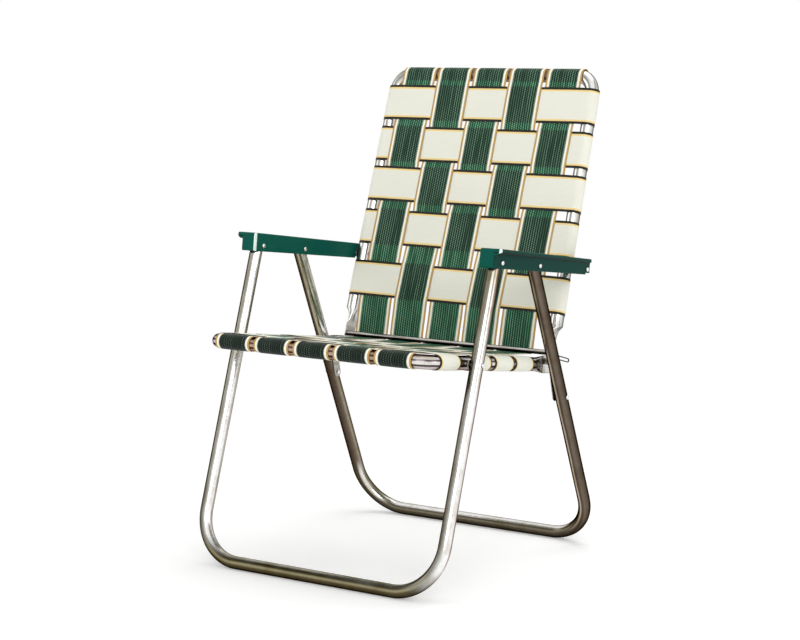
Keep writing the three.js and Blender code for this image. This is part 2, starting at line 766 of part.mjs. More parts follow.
addPair('rivet_link_seat', rivet(seatPlateInner, linkOuter, chain.linkTop, lowHeadHeight, 0), zincSteel);
addPair('spacer_link_seat',
  collar(seatPlateOuter + clearance, linkInner - clearance, chain.linkTop, spacerDiameter), zincSteel);
addPair('rivet_link_button', rivet(linkInner, linkOuter, chain.linkBottom, rivetHeadHeight, 0), zincSteel);
addPair('rivet_link_rear_leg', rivet(legInner + clearance, legOuter, chain.linkBottom, 0), zincSteel);
addPair('keeper_wire', keeperWire(keeperX), zincSteel);

// Webbing
for (let i = 0; i < longStrapCount; i++) {
  const xStart = longStrapX(i) - longHalf;
  const xEnd = longStrapX(i) + longHalf;
  add(`seat_long_strap_${i + 1}`, seatLongStrap(i), greenWeb);
  add(`strap_bend_${i + 1}`, extrudeAcross(strapBend(), xStart, xEnd), greenWeb);
  add(`back_long_strap_${i + 1}`, extrudeAcross(backLongStrap(i), xStart, xEnd), greenWeb);
}
seatStrapDistances.forEach((s, j) => {
  const xOf = (i) => longStrapX(i) + spreadAt(i, s);
  add(`seat_cross_strap_${j + 1}`, crossStrap(seatPlane, 1, s, seatCrossWidth, seatRow(j), seatHalf, xOf), creamWeb);
});
backStrapDistances.forEach((s, row) => {
  const railX = backHalfAt(s + backCrossHalf);
  const strap = crossStrap(backPlane, -1, s, backCrossWidth, row, railX, longStrapX);
  add(`back_cross_strap_${row + 1}`, strap, creamWeb);
});

export default chair;
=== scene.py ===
# Looks of a folding lawn chair with a woven webbing seat and back.
# Metres, +Z up. The sitter faces -Y and X runs across the chair.

import json
from math import atan2, copysign, cos, degrees, pi, radians, sin, sqrt, tan

import bmesh
import bpy
import numpy as np
from mathutils import Matrix, Vector
from numpy.linalg import norm

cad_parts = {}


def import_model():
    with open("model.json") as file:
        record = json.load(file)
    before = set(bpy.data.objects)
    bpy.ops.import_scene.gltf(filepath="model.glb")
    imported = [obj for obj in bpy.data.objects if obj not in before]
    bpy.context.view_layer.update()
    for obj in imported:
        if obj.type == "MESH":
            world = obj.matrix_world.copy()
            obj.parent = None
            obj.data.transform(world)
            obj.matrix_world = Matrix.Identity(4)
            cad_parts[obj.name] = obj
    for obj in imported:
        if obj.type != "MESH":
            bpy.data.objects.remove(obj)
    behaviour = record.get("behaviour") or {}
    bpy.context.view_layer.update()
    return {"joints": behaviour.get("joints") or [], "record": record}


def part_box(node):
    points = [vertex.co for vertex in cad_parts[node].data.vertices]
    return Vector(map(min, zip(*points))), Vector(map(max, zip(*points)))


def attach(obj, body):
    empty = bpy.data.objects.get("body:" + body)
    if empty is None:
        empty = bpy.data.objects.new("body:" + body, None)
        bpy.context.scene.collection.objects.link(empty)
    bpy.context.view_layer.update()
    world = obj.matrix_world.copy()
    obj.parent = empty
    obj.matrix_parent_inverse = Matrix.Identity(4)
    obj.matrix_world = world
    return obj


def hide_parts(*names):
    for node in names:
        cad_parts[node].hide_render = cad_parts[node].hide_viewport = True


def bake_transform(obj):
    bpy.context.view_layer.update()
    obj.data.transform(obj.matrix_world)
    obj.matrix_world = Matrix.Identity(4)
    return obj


scene = bpy.context.scene
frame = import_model()

# Camera, fitted to the photograph
CAMERA_PLACE = (2.11716, -3.14035, 0.93128)
CAMERA_YAW = 34.21
CAMERA_PITCH = 7.51
CAMERA_ROLL = 0.18
CAMERA_LENS = 93.48

# Tubes
LEG_RADIUS = 0.0117
RAIL_RADIUS = 0.0126
TUBE_WALL = 0.0012
TUBE_SIDES = 48
BEND_STEPS = 22
LEG_HALF = 0.2585
LEG_BEND = 0.088
FRONT_LEG_OVERRUN = 0.010
REAR_LEG_OVERRUN = 0.007
SEAT_SLOPE = 7.6
SEAT_HALF = 0.230
SEAT_OVERHANG = 0.1166
SEAT_PIVOT_DROP = 0.0015
SEAT_BEND = 0.036
SEAT_OVERRUN = 0.022
BACK_HALF_TOP = 0.221
BACK_ABOVE_ARM = 0.3674
BACK_BEND = 0.034
BACK_OVERRUN = 0.016
ROD_RADIUS = 0.00475
SIDES = (("left", 1), ("right", -1))

# Flattened tube ends
CRIMP_START = 0.070
CRIMP_END = 0.034
PLATE_THICKNESS = 0.0028
PLATE_HALF_HEIGHT = 0.016
PLATE_SHIFT = 0.0028
SLIT = 0.0004
TIP_SHARE = 0.12

# Rivets, washers and links
RIVET_RADIUS = 0.003
HEAD_RADIUS = 0.0041
HEAD_HEIGHT = 0.0022
LATHE_SIDES = 40
WASHER_RADIUS = 0.008
SPACER_RADIUS = 0.006
LINK_HALF_WIDTH = 0.009
LINK_EDGE_SHARE = 0.22
RIM_SHARE = 0.12

# Arms
ARM_SLOPE = 7.1
ARM_REACH = 0.028
ARM_REAR_REACH = 0.009
ARM_TOP_FRONT = 0.0235
ARM_TOP_REAR = 0.0195
ARM_BOTTOM_FRONT = 0.0105
ARM_BOTTOM_REAR = 0.0095
ARM_WALL = 0.0026
ARM_NOSE = 0.005
ARM_CORNER = 0.0024
LIP_WIDTH = 0.0125
LIP_REAR_WIDTH = 0.003
LIP_THICKNESS = 0.0068
NOTCH_LENGTH = 0.014
NOTCH_HEIGHT = 0.003

# Webbing
WEB_THICKNESS = 0.0009
UNDER_LEVEL = 0.0136
OVER_LEVEL = 0.0150
LONG_WIDTH = 0.076
LONG_PITCH = 0.0816
LONG_COUNT = 5
FRONT_SPREAD = 0.0041
BACK_CROSS_WIDTH = 0.070
SEAT_CROSS_WIDTH = 0.065
BACK_ROW_SHARES = (0.1123, 0.2657, 0.4164, 0.5752, 0.7642)
SEAT_ROW_SHARES = (0.1427, 0.3824, 0.5658, 0.7312)
HOOK_ANGLE = 190
SEAT_STOP = 0.075
ROD_WRAP = 0.00555
CROSSING_MARGIN = 0.002
PAST_LAST_ROW = 0.006
CROWN = 0.0002
SEAT_SAG = 0.0035
BACK_SAG = 0.003
STEP = 0.003

# Studio
AMBIENT = 0.66
FLOOR_SIZE = 60.0
FLOOR_GLOW = 0.19
SHADOW_REACH = (0.7, 1.7)
CHAIR_MIDDLE = (0.0, 0.0, 0.42)

# Colours, linear
GREEN_DARK = (0.0045, 0.024, 0.012, 1)
GREEN_LIT = (0.004, 0.145, 0.058, 1)
GREEN_GLINT = (0.38, 0.58, 0.42, 1)
SHADE_GREEN = (0.004, 0.010, 0.006, 1)
CREAM = (0.88, 0.88, 0.77, 1)
CREAM_SHADE = (0.76, 0.76, 0.66, 1)
WHITE_LINE = (0.95, 0.93, 0.79, 1)
GOLD = (0.60, 0.38, 0.11, 1)
CREAM_GOLD = (0.88, 0.66, 0.27, 1)
BLACK_LINE = (0.010, 0.009, 0.006, 1)
ARM_GREEN = (0.005, 0.090, 0.066, 1)
ARM_GREEN_WORN = (0.012, 0.125, 0.088, 1)
ARM_GREEN_SHADED = (0.003, 0.046, 0.034, 1)
ARM_HIGHLIGHT = (0.80, 0.90, 0.86, 1)
BROWN = (0.16, 0.10, 0.07, 1)
SELVAGE = (0.36, 0.20, 0.11, 1)
STRAP_SHADE_COLOUR = (0.42, 0.27, 0.15, 1)
GOLD_STREAK = (0.92, 0.74, 0.42, 1)
SMUDGE = (0.74, 0.70, 0.62, 1)
TUBE_EDGE = (0.12, 0.09, 0.06, 1)


# The side view holds (y, z) pairs
def heading(angle):
    return np.array([cos(radians(angle)), sin(radians(angle))])


def side(vector):
    return np.array([vector[1], vector[2]])


def unit(vector):
    return vector / norm(vector)


def middle(node):
    low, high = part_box(node)
    return (low + high) / 2


pivots = {j["name"]: side(j["pos_m"]) for j in frame["joints"]}
mounts = {m["name"]: m["pos_m"] for m in frame["record"]["mounts"]}
ARM_FRONT = pivots["arm_fold"]
ARM_MIDDLE = pivots["rear_leg_fold"]
SEAT_FRONT = pivots["seat_fold"]
SEAT_REAR = pivots["back_fold"]
LINK_TOP = pivots["link_fold"]
ARM_REAR = ARM_FRONT + SEAT_REAR - SEAT_FRONT
LINK_BOTTOM = side(middle("rivet_link_button_left"))
ROD = side(middle("cross_rod"))
ARM_ALONG = heading(-ARM_SLOPE)
ARM_UP = heading(90 - ARM_SLOPE)
ARM_LENGTH = ARM_REACH + float((ARM_REAR - ARM_FRONT) @ ARM_ALONG) + ARM_REAR_REACH
FRONT_BAR = np.array([mounts["front_floor_bar"][1], LEG_RADIUS])
REAR_BAR = np.array([mounts["rear_floor_bar"][1], LEG_RADIUS])
UP_LEG = unit(ARM_FRONT - SEAT_FRONT)
ALONG_SEAT = heading(-SEAT_SLOPE)
SEAT_UP = heading(90 - SEAT_SLOPE)
FRONT_RAIL = SEAT_FRONT - ALONG_SEAT * SEAT_OVERHANG + SEAT_UP * SEAT_PIVOT_DROP
TOP_RAIL = ARM_REAR + UP_LEG * BACK_ABOVE_ARM
SEAT_LENGTH = float((SEAT_REAR - FRONT_RAIL) @ ALONG_SEAT)
BACK_LENGTH = float(norm(TOP_RAIL - SEAT_REAR))
BACK_ROWS = [share * BACK_LENGTH for share in BACK_ROW_SHARES]
SEAT_ROWS = [share * SEAT_LENGTH for share in SEAT_ROW_SHARES]
SEAT_STRAP_END = SEAT_LENGTH - SEAT_STOP
BACK_STRAP_END = BACK_ROWS[-1] + BACK_CROSS_WIDTH / 2 + PAST_LAST_ROW

# How far the hand-woven straps stray from straight: lean and sway of the long straps, tilt and drop of the
# back's rows
STRAP_LEAN = -0.0100
STRAP_SWAY = 0.0012
ROW_TILTS = (0.0, 0.001, 0.0035, 0.0035, 0.005)
ROW_DROPS = (0.0, 0.0, 0.0, 0.0, 0.001)


# Meshes
def add_object(name, data):
    obj = bpy.data.objects.new(name, data)
    scene.collection.objects.link(obj)
    return obj


def mesh_object(name, verts, faces, uvs=None, smooth_angle=40):
    mesh = bpy.data.meshes.new(name)
    mesh.from_pydata([tuple(map(float, v)) for v in verts], [], faces)
    if uvs is not None:
        layer = mesh.uv_layers.new(name="Flat")
        index = np.empty(len(mesh.loops), np.int32)
        mesh.loops.foreach_get("vertex_index", index)
        layer.data.foreach_set("uv", np.asarray(uvs, np.float32)[index].ravel())
    mesh.validate()
    obj = add_object(name, mesh)
    shade(obj, smooth_angle)
    return obj


def shade(obj, smooth_angle):
    """Smooth shading, with hard edges where the faces turn by more than the angle."""
    bm = bmesh.new()
    bm.from_mesh(obj.data)
    bmesh.ops.recalc_face_normals(bm, faces=bm.faces)
    limit = radians(smooth_angle)
    for face in bm.faces:
        face.smooth = True
    for edge in bm.edges:
        edge.smooth = len(edge.link_faces) == 2 and edge.calc_face_angle(0) < limit
    bm.to_mesh(obj.data)
    bm.free()


def bridge(rings, closed, capped=True):
    """Quads between rings of equal length. Where closed, the last ring joins the first."""
    count, total = len(rings[0]), len(rings)
    faces = []
    for i in range(total if closed else total - 1):
        a, b = i * count, (i + 1) % total * count
        for k in range(count):
            n = (k + 1) % count
            faces.append((a + k, a + n, b + n, b + k))
    if capped and not closed:
        faces.append(tuple(range(count - 1, -1, -1)))
        faces.append(tuple(range((total - 1) * count, total * count)))
    return faces


def flatten(rings):
    return [point for ring in rings for point in ring]


def finish_piece(obj, body, slot, material, *nodes):
    obj.data.materials.append(material)
    if body:
        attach(obj, body)
    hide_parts(*nodes)
    return obj


# U frames
class Plane:
    """The plane of a bent frame. Its bar is at bar, and its sides run along away, for a length to the pivot.
    The webbing lies on the side that facing gives, and sags in the middle."""

    def __init__(self, bar, away, length=0.0, sag=0.0, facing=1):
        self.bar = np.array([0.0, *bar])
        self.sides = np.array([0.0, *away])
        self.normal = np.array([0.0, -away[1], away[0]])
        self.length = length
        self.sag = sag
        self.facing = facing

    def place(self, x, s, h):
        return np.array([x, 0.0, 0.0]) + self.bar + self.sides * s + self.normal * h


SEAT_PLANE = Plane(FRONT_RAIL, ALONG_SEAT, SEAT_LENGTH, SEAT_SAG)
BACK_PLANE = Plane(TOP_RAIL, -UP_LEG, BACK_LENGTH, BACK_SAG, -1)


def smooth(t):
    t = min(max(t, 0.0), 1.0)
    return t * t * (3 - 2 * t)


# A flattened end from its start to its plate: outward shift, half sizes and corners of the section, and the
# valley along its faces. The first three are shares of the tube's radius.
CRIMP_STEPS = (0.0, 0.2, 0.45, 0.75, 1.0)
CRIMP_SHAPE = {
    "shift": (0.0, 0.30, 0.45, 0.44, PLATE_SHIFT / RAIL_RADIUS),
    "across": (1.0, 0.75, 0.48, 0.22, PLATE_THICKNESS / 2 / RAIL_RADIUS),
    "normal": (1.0, 1.0, 1.10, 1.22, PLATE_HALF_HEIGHT / RAIL_RADIUS),
    "square": (1.0, 0.95, 0.8, 0.6, 0.4),
    "valley": (0.0, 0.25, 0.6, 0.3, 0.0),
}


def crimp_section(from_pivot, end, direction):
    """Section of a flattened tube end at a distance from its pivot. end is the tip's distance past it."""
    t = (CRIMP_START - from_pivot) / (CRIMP_START - CRIMP_END)
    section = {key: np.interp(t, CRIMP_STEPS, values) for key, values in CRIMP_SHAPE.items()}
    section["shift"] *= direction * RAIL_RADIUS
    section["across"] *= RAIL_RADIUS
    section["normal"] *= RAIL_RADIUS
    past = PLATE_HALF_HEIGHT - (from_pivot + end)
    if past > 0:
        tip = TIP_SHARE * PLATE_HALF_HEIGHT
        section["normal"] = sqrt(max(PLATE_HALF_HEIGHT ** 2 - past ** 2, tip ** 2))
    return section


LEG_SECTION = {"shift": 0.0, "across": LEG_RADIUS, "normal": LEG_RADIUS, "square": 1.0, "valley": 0.0}


def u_stations(half_bar, half_end, length, bend, section_at, distances):
    """Stations from the left end, along the bar, to the right end. section_at gives each one's section."""
    slope = atan2(half_end - half_bar, length)
    tangent = bend * tan((pi / 2 + slope) / 2)
    right = []
    for k in range(BEND_STEPS + 1):
        turn = k / BEND_STEPS * (pi / 2 - slope)
        x = half_bar - tangent + bend * sin(turn)
        s = bend - bend * cos(turn)
        right.append((x, s, cos(turn), sin(turn), section_at(s)))
    for s in distances:
        if s > right[-1][1] + bend * 0.05:
            x = half_bar + (half_end - half_bar) * s / length
            right.append((x, s, sin(slope), cos(slope), section_at(s)))
    left = [(-x, s, tx, -ts, section) for x, s, tx, ts, section in reversed(right)]
    return left + right


def section_ring(plane, station, inset):
    x, s, tx, ts, section = station
    outward = np.array([ts, 0.0, 0.0]) - plane.sides * tx
    centre = plane.place(x, s, 0) + outward * section["shift"]
    across = max(section["across"] - inset, SLIT / 2)
    normal = max(section["normal"] - inset, SLIT / 2)
    ring = []
    for k in range(TUBE_SIDES):
        angle = (k + 0.5) / TUBE_SIDES * 2 * pi
        c, n = cos(angle), sin(angle)
        valley = 1 - section["valley"] * (1 if inset else (1 - abs(n)) ** 2)
        c = copysign(abs(c) ** section["square"], c)
        n = copysign(abs(n) ** section["square"], n)
        ring.append(centre + outward * across * valley * c + plane.normal * normal * n)
    return ring


def hollow_frame(name, plane, stations):
    outer = [section_ring(plane, station, 0) for station in stations]
    inner = [section_ring(plane, station, TUBE_WALL) for station in stations]
    rings = outer + inner[::-1]
    steps = [norm(np.mean(b, 0) - np.mean(a, 0)) for a, b in zip(outer, outer[1:])]
    lengths = [0.0, *np.cumsum(steps)]
    lengths += lengths[::-1]
    around = 2 * pi * RAIL_RADIUS / TUBE_SIDES
    uvs = [(abs(k - TUBE_SIDES / 2) * around, along) for along in lengths for k in range(TUBE_SIDES)]
    return mesh_object(name, flatten(rings), bridge(rings, True), uvs)


# Turned pieces along X, and plates
def lathe(name, profile, at, mirror=1):
    """profile is (x, radius) pairs from one end on the axis to the other, or a closed loop off the axis."""
    on_axis = profile[0][1] == 0
    rows = profile[1:-1] if on_axis else profile
    turns = [2 * pi * k / LATHE_SIDES for k in range(LATHE_SIDES)]
    rings = [
        [(mirror * x, at[0] + radius * cos(turn), at[1] + radius * sin(turn)) for turn in turns]
        for x, radius in rows
    ]
    verts = flatten(rings)
    faces = bridge(rings, not on_axis, capped=False)
    if on_axis:
        for start, x in ((0, profile[0][0]), (len(verts) - LATHE_SIDES, profile[-1][0])):
            centre = len(verts)
            verts.append((mirror * x, *at))
            faces += [(start + k, start + (k + 1) % LATHE_SIDES, centre) for k in range(LATHE_SIDES)]
    return mesh_object(name, verts, faces)


def turned_pair(name, body, slot, material, profile):
    """A turned piece on the left, and its mirror image on the right."""
    for suffix, mirror in SIDES:
        obj = lathe(f"smooth_{name}_{suffix}", profile, side(middle(f"{name}_left")), mirror)
        finish_piece(obj, body, slot, material, f"{name}_{suffix}")


def dome(x, direction):
    """Half profile of a rivet head from its rim at x to its top on the axis."""
    steps = 7
    points = [(x, RIVET_RADIUS), (x, HEAD_RADIUS * 0.96)]
    for k in range(steps):
        turn = k / steps * pi / 2
        rise = RIM_SHARE + (1 - RIM_SHARE) * sin(turn)
        points.append((x + direction * HEAD_HEIGHT * rise, HEAD_RADIUS * cos(turn)))
    return points + [(x + direction * HEAD_HEIGHT, 0)]


def rivets(name, body, inner_head, outer_head, material):
    """Each rivet's shank fills its CAD node's length, with a smooth dome where the node has a head."""
    low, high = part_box(f"{name}_left")
    start = dome(low.x + HEAD_HEIGHT, -1) if inner_head else [(low.x, RIVET_RADIUS), (low.x, 0)]
    end = dome(high.x - HEAD_HEIGHT, 1) if outer_head else [(high.x, RIVET_RADIUS), (high.x, 0)]
    turned_pair(name, body, "rivet_aluminium", material, start[::-1] + end)


def collars(name, body, radius, material):
    """Washers and spacers with their edges taken off, a little clear of the shank."""
    low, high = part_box(f"{name}_left")
    inner = RIVET_RADIUS * 1.1
    edge = (high.x - low.x) * RIM_SHARE
    profile = [
        (low.x, inner), (low.x, radius - edge), (low.x + edge, radius),
        (high.x - edge, radius), (high.x, radius - edge), (high.x, inner),
    ]
    turned_pair(name, body, "zinc_steel", material, profile)


def links(material):
    """Flat links with round ends and their edges taken off."""
    low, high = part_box("link_left")
    run = LINK_BOTTOM - LINK_TOP
    down = degrees(atan2(run[1], run[0]))
    edge = (high.x - low.x) * LINK_EDGE_SHARE
    steps = 18

    def outline(radius):
        return [
            at + radius * heading(start + 180 * k / steps)
            for at, start in ((LINK_TOP, down + 90), (LINK_BOTTOM, down - 90))
            for k in range(steps + 1)
        ]

    narrow, wide = outline(LINK_HALF_WIDTH - edge), outline(LINK_HALF_WIDTH)
    layers = ((low.x, narrow), (low.x + edge, wide), (high.x - edge, wide), (high.x, narrow))
    for suffix, mirror in SIDES:
        rings = [[(mirror * x, *point) for point in points] for x, points in layers]
        obj = mesh_object(f"smooth_link_{suffix}", flatten(rings), bridge(rings, False))
        finish_piece(obj, "links", "link_steel", material, f"link_{suffix}")


# Keeper wires
KEEPER_REACH = 0.058
KEEPER_EYE = 0.0048
KEEPER_RISE = 0.0179
KEEPER_DROOP = 15
KEEPER_LOOP = 0.0064
WIRE_RADIUS = 0.0012


def keeper_path():
    """The wire's route: three quarters round the rivet, out along the hairpin and back."""
    points = [SEAT_REAR + heading(110 + 270 * k / 8) * KEEPER_EYE for k in range(9)]
    back = heading(-KEEPER_DROOP)
    upper = heading(90 - KEEPER_DROOP)
    root = SEAT_REAR + np.array([0, KEEPER_RISE])
    tip = root + back * KEEPER_REACH
    points += [root + back * KEEPER_EYE * 2, root + back * KEEPER_REACH * 0.6, tip]
    for angle in (45, 0, -45):
        points.append(tip - upper * KEEPER_LOOP / 2 + heading(angle - KEEPER_DROOP) * KEEPER_LOOP / 2)
    points += [tip - upper * KEEPER_LOOP, root + back * KEEPER_REACH / 2 - upper * KEEPER_LOOP]
    return points


def keeper_wires(material):
    x = middle("keeper_wire_left").x
    for suffix, mirror in SIDES:
        curve = bpy.data.curves.new(f"wire_{suffix}", "CURVE")
        curve.dimensions = "3D"
        curve.bevel_depth = WIRE_RADIUS
        curve.bevel_resolution = 4
        curve.use_fill_caps = True
        spline = curve.splines.new("NURBS")
        path = keeper_path()
        spline.points.add(len(path) - 1)
        for point, at in zip(spline.points, path):
            point.co = (mirror * x, at[0], at[1], 1)
        spline.use_endpoint_u = True
        spline.order_u = 3
        curve.resolution_u = 8
        draft = add_object(f"draft_{suffix}", curve)
        obj = add_object(f"smooth_keeper_wire_{suffix}", bpy.data.meshes.new_from_object(draft))
        bpy.data.objects.remove(draft)
        shade(obj, 60)
        obj.data.materials.clear()
        finish_piece(obj, "seat", "zinc_steel", material, f"keeper_wire_{suffix}")


# Arms
LIP_CORNER = 0.006
HIGHLIGHT_ACROSS = 0.0018
HIGHLIGHT_ALONG = 0.007
LIP_SHADOW_BAND = 0.0022
TINY = 0.0000104


def rounded(x, h, radius, start, steps=5):
    """A quarter turn round (x, h), clockwise from an angle."""
    return [np.array([x, h]) + radius * heading(start - 90 * k / steps) for k in range(steps + 1)]


def arm_ring(into, inner, outer, mirror):
    """An arm's section at a distance from its front end: an upside-down channel with a lip."""
    share = (into - ARM_NOSE) / (ARM_LENGTH - ARM_NOSE)
    top = ARM_TOP_FRONT + (ARM_TOP_REAR - ARM_TOP_FRONT) * max(share, 0)
    low = -ARM_BOTTOM_FRONT + (ARM_BOTTOM_FRONT - ARM_BOTTOM_REAR) * into / ARM_LENGTH
    if into < ARM_NOSE:
        top = ARM_TOP_FRONT - ARM_NOSE + sqrt(ARM_NOSE ** 2 - (ARM_NOSE - into) ** 2)
    if into < ARM_NOSE / 2:
        low += ARM_NOSE / 2 - into
    if into > ARM_LENGTH - NOTCH_LENGTH:
        low += NOTCH_HEIGHT
    corner = ARM_CORNER
    inset = corner - sqrt(max(corner ** 2 - max(corner - into, 0) ** 2, 0))
    inner, outer = inner + inset, outer - inset
    lip_width = LIP_WIDTH + (LIP_REAR_WIDTH - LIP_WIDTH) * into / ARM_LENGTH
    lip = lip_width * (0.55 + 0.45 * sqrt(1 - max(1 - into / LIP_CORNER, 0) ** 2))
    cavity = top - ARM_WALL if into >= ARM_WALL else low
    face, under = outer + lip, top - LIP_THICKNESS
    rim = min(corner, LIP_THICKNESS * 0.45)
    edge = min(corner * 0.6, lip * 0.49)
    foot = corner * 0.3
    points = [(inner, low + foot)] + rounded(inner + corner, top - corner, corner, 180)
    points += rounded(face - rim, top - rim, rim, 90) + rounded(face - edge, under + edge, edge, 0, 3)
    points += [(outer + min(lip, corner * 0.5), under), (outer, under - corner * 0.5)]
    points += [(outer, low + foot), (outer - foot, low)]
    points += [(outer - ARM_WALL, low), (outer - ARM_WALL, cavity), (inner + ARM_WALL, cavity)]
    points += [(inner + ARM_WALL, low), (inner + foot, low)]
    start = ARM_FRONT + ARM_ALONG * (into - ARM_REACH)
    return [np.array([mirror * x, *(start + ARM_UP * h)]) for x, h in points]


def arms(material):
    low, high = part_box("arm_left")
    places = [ARM_NOSE * (1 - cos(k / 10 * pi / 2)) for k in range(11)]
    places += [ARM_CORNER * k for k in (0.25, 0.5, 0.75, 1)]
    places += [ARM_NOSE / 2, ARM_WALL - TINY, ARM_WALL]
    places += [LIP_CORNER * (1 - cos(k / 8 * pi / 2)) for k in range(1, 9)]
    places += list(np.linspace(LIP_CORNER, ARM_LENGTH, 30)[1:])
    places += [ARM_LENGTH - NOTCH_LENGTH, ARM_LENGTH - NOTCH_LENGTH + TINY]
    places = sorted(set(places))
    for suffix, mirror in SIDES:
        rings = [arm_ring(into, low.x, high.x - LIP_WIDTH, mirror) for into in places]
        uvs = [(k * ARM_CORNER, into - ARM_REACH) for into in places for k in range(len(rings[0]))]
        obj = mesh_object(f"moulded_arm_{suffix}", flatten(rings), bridge(rings, False), uvs, 28)
        bm = bmesh.new()
        bm.from_mesh(obj.data)
        bmesh.ops.remove_doubles(bm, verts=bm.verts, dist=TINY / 2)
        bmesh.ops.dissolve_degenerate(bm, edges=bm.edges, dist=TINY / 2)
        bm.to_mesh(obj.data)
        bm.free()
        finish_piece(obj, "arms", "arm_plastic", material, f"arm_{suffix}")


# Webbing
def long_x(i, s, on_seat):
    """Middle of a long strap at a distance from the front rail or from the top rail."""
    place = i - (LONG_COUNT - 1) / 2
    if on_seat:
        share = min(max(s / SEAT_STRAP_END, 0), 1)
        return place * (LONG_PITCH + FRONT_SPREAD * (1 - share)) + STRAP_LEAN * smooth(share)
    return place * LONG_PITCH + STRAP_LEAN * min(max(s / BACK_LENGTH, 0), 1) ** 1.5


def row_at(row, x):
    """Distance of a back row from the top rail where it passes x."""
    return BACK_ROWS[row] + ROW_DROPS[row] + ROW_TILTS[row] * x / (2 * SEAT_HALF)


def cross_over(row, i):
    return (row + i) % 2 == 0


def seat_row(j):
    return len(BACK_ROWS) + len(SEAT_ROWS) - 1 - j


def hook_points(centre=0.0):
    """Points round a rail, from the flat side to where the strap's end is tucked under."""
    steps = 26
    turns = [radians(HOOK_ANGLE * k / steps) for k in range(1, steps + 1)]
    return [(centre + UNDER_LEVEL * sin(turn), UNDER_LEVEL * cos(turn)) for turn in turns]


def sag_at(plane, x, s):
    """How far the taut webbing gives in the middle."""
    wide = cos(min(abs(x) / SEAT_HALF, 1) * pi / 2)
    deep = sin(min(max(s / plane.length, 0), 1) * pi)
    return plane.sag * wide ** 0.8 * deep ** 0.8


def strap_mesh(name, rows, widths, backed=None):
    """A strap as a closed ribbon. Each row across it is (centre, up) pairs, one at each of the widths, and
    backed says what it has behind it, for the material."""
    columns = list(range(len(widths)))
    rings, uvs, behind = [], [], []
    length = 0.0
    for i, row in enumerate(rows):
        if i:
            length += float(norm(row[len(row) // 2][0] - rows[i - 1][len(row) // 2][0]))
        ring = []
        for flip in (1, -1):
            for k in columns[::flip]:
                centre, up = row[k]
                half = WEB_THICKNESS / 2 * (1 - 0.65 * abs(widths[k] / widths[0]) ** 10)
                ring.append(centre + up * half * flip)
                uvs.append((widths[k], length))
                behind.append(backed[i] if backed else 0.0)
        rings.append(ring)
    obj = mesh_object(name, flatten(rings), bridge(rings, False), uvs, 50)
    attribute = obj.data.attributes.new("backed", "FLOAT", "POINT")
    attribute.data.foreach_set("value", np.asarray(behind, np.float32))
    return obj


def across_positions(width):
    """Places across a strap, closer together at its edges."""
    count = 14
    return [width / 2 * sin(pi * (k / count - 0.5)) for k in range(count + 1)]


def crown_at(w, width):
    """A strap is a little higher in its middle than at its edges."""
    return (1 - (w / (width / 2)) ** 2) * CROWN


def run_length(points):
    return float(np.sum(norm(np.diff(points, axis=0), axis=1)))


def resample(points, step=STEP):
    points = np.array(points, float)
    lengths = np.concatenate([[0], np.cumsum(norm(np.diff(points, axis=0), axis=1))])
    at = np.linspace(0, lengths[-1], max(int(lengths[-1] / step), 4) + 1)
    return np.stack([np.interp(at, lengths, points[:, k]) for k in range(points.shape[1])], axis=1)


def flat_run(start, end, crossings):
    """(distance, height over the frame) along a strap. crossings are (start, end, is over) in order."""
    knots = [(crossings[0][0] - LONG_WIDTH / 4, UNDER_LEVEL)]
    for first, last, over in crossings:
        level = OVER_LEVEL if over else UNDER_LEVEL
        knots += [(first, level), (last, level)]
    places, levels = zip(*knots, (crossings[-1][1] + LONG_WIDTH / 4, UNDER_LEVEL))
    numbers = range(len(places))
    run = np.linspace(start, end, int(abs(end - start) / STEP) + 1)
    whole, part = np.divmod(np.interp(run, places, numbers), 1)
    return list(zip(run, np.interp(whole + part * part * (3 - 2 * part), numbers, levels)))


def soften(points, passes=2):
    points = np.array(points, float)
    for _ in range(passes):
        points[1:-1] = points[:-2] * 0.25 + points[1:-1] * 0.5 + points[2:] * 0.25
    return points


# What a long strap has behind it: nothing, the rod, a cross strap or the top rail, or the front rail. The
# green material paints the strap lighter where less is behind it, and in shade over the front rail.
OPEN, OVER_ROD, OVER_STRAP, OVER_FRONT_RAIL = 0.0, 0.3, 1.0, 2.0


def strap_route(i, plane, part, crossings):
    """(y, z, what is behind, x) at each (distance, height) of a long strap's part."""
    on_seat = plane is SEAT_PLANE
    rail_reach = RAIL_RADIUS * (1 if on_seat else 1.3)
    at_rail = OVER_FRONT_RAIL if on_seat else OVER_STRAP
    route = []
    for s, h in part:
        x = long_x(i, s, on_seat)
        y, z = side(plane.place(0, s, plane.facing * (h - sag_at(plane, x, s))))
        backed = at_rail if s < rail_reach else OPEN
        for start, end, over in crossings:
            if over and start - CROSSING_MARGIN <= s <= end + CROSSING_MARGIN:
                backed = max(backed, OVER_STRAP)
        route.append((y, z, backed, x))
    return route


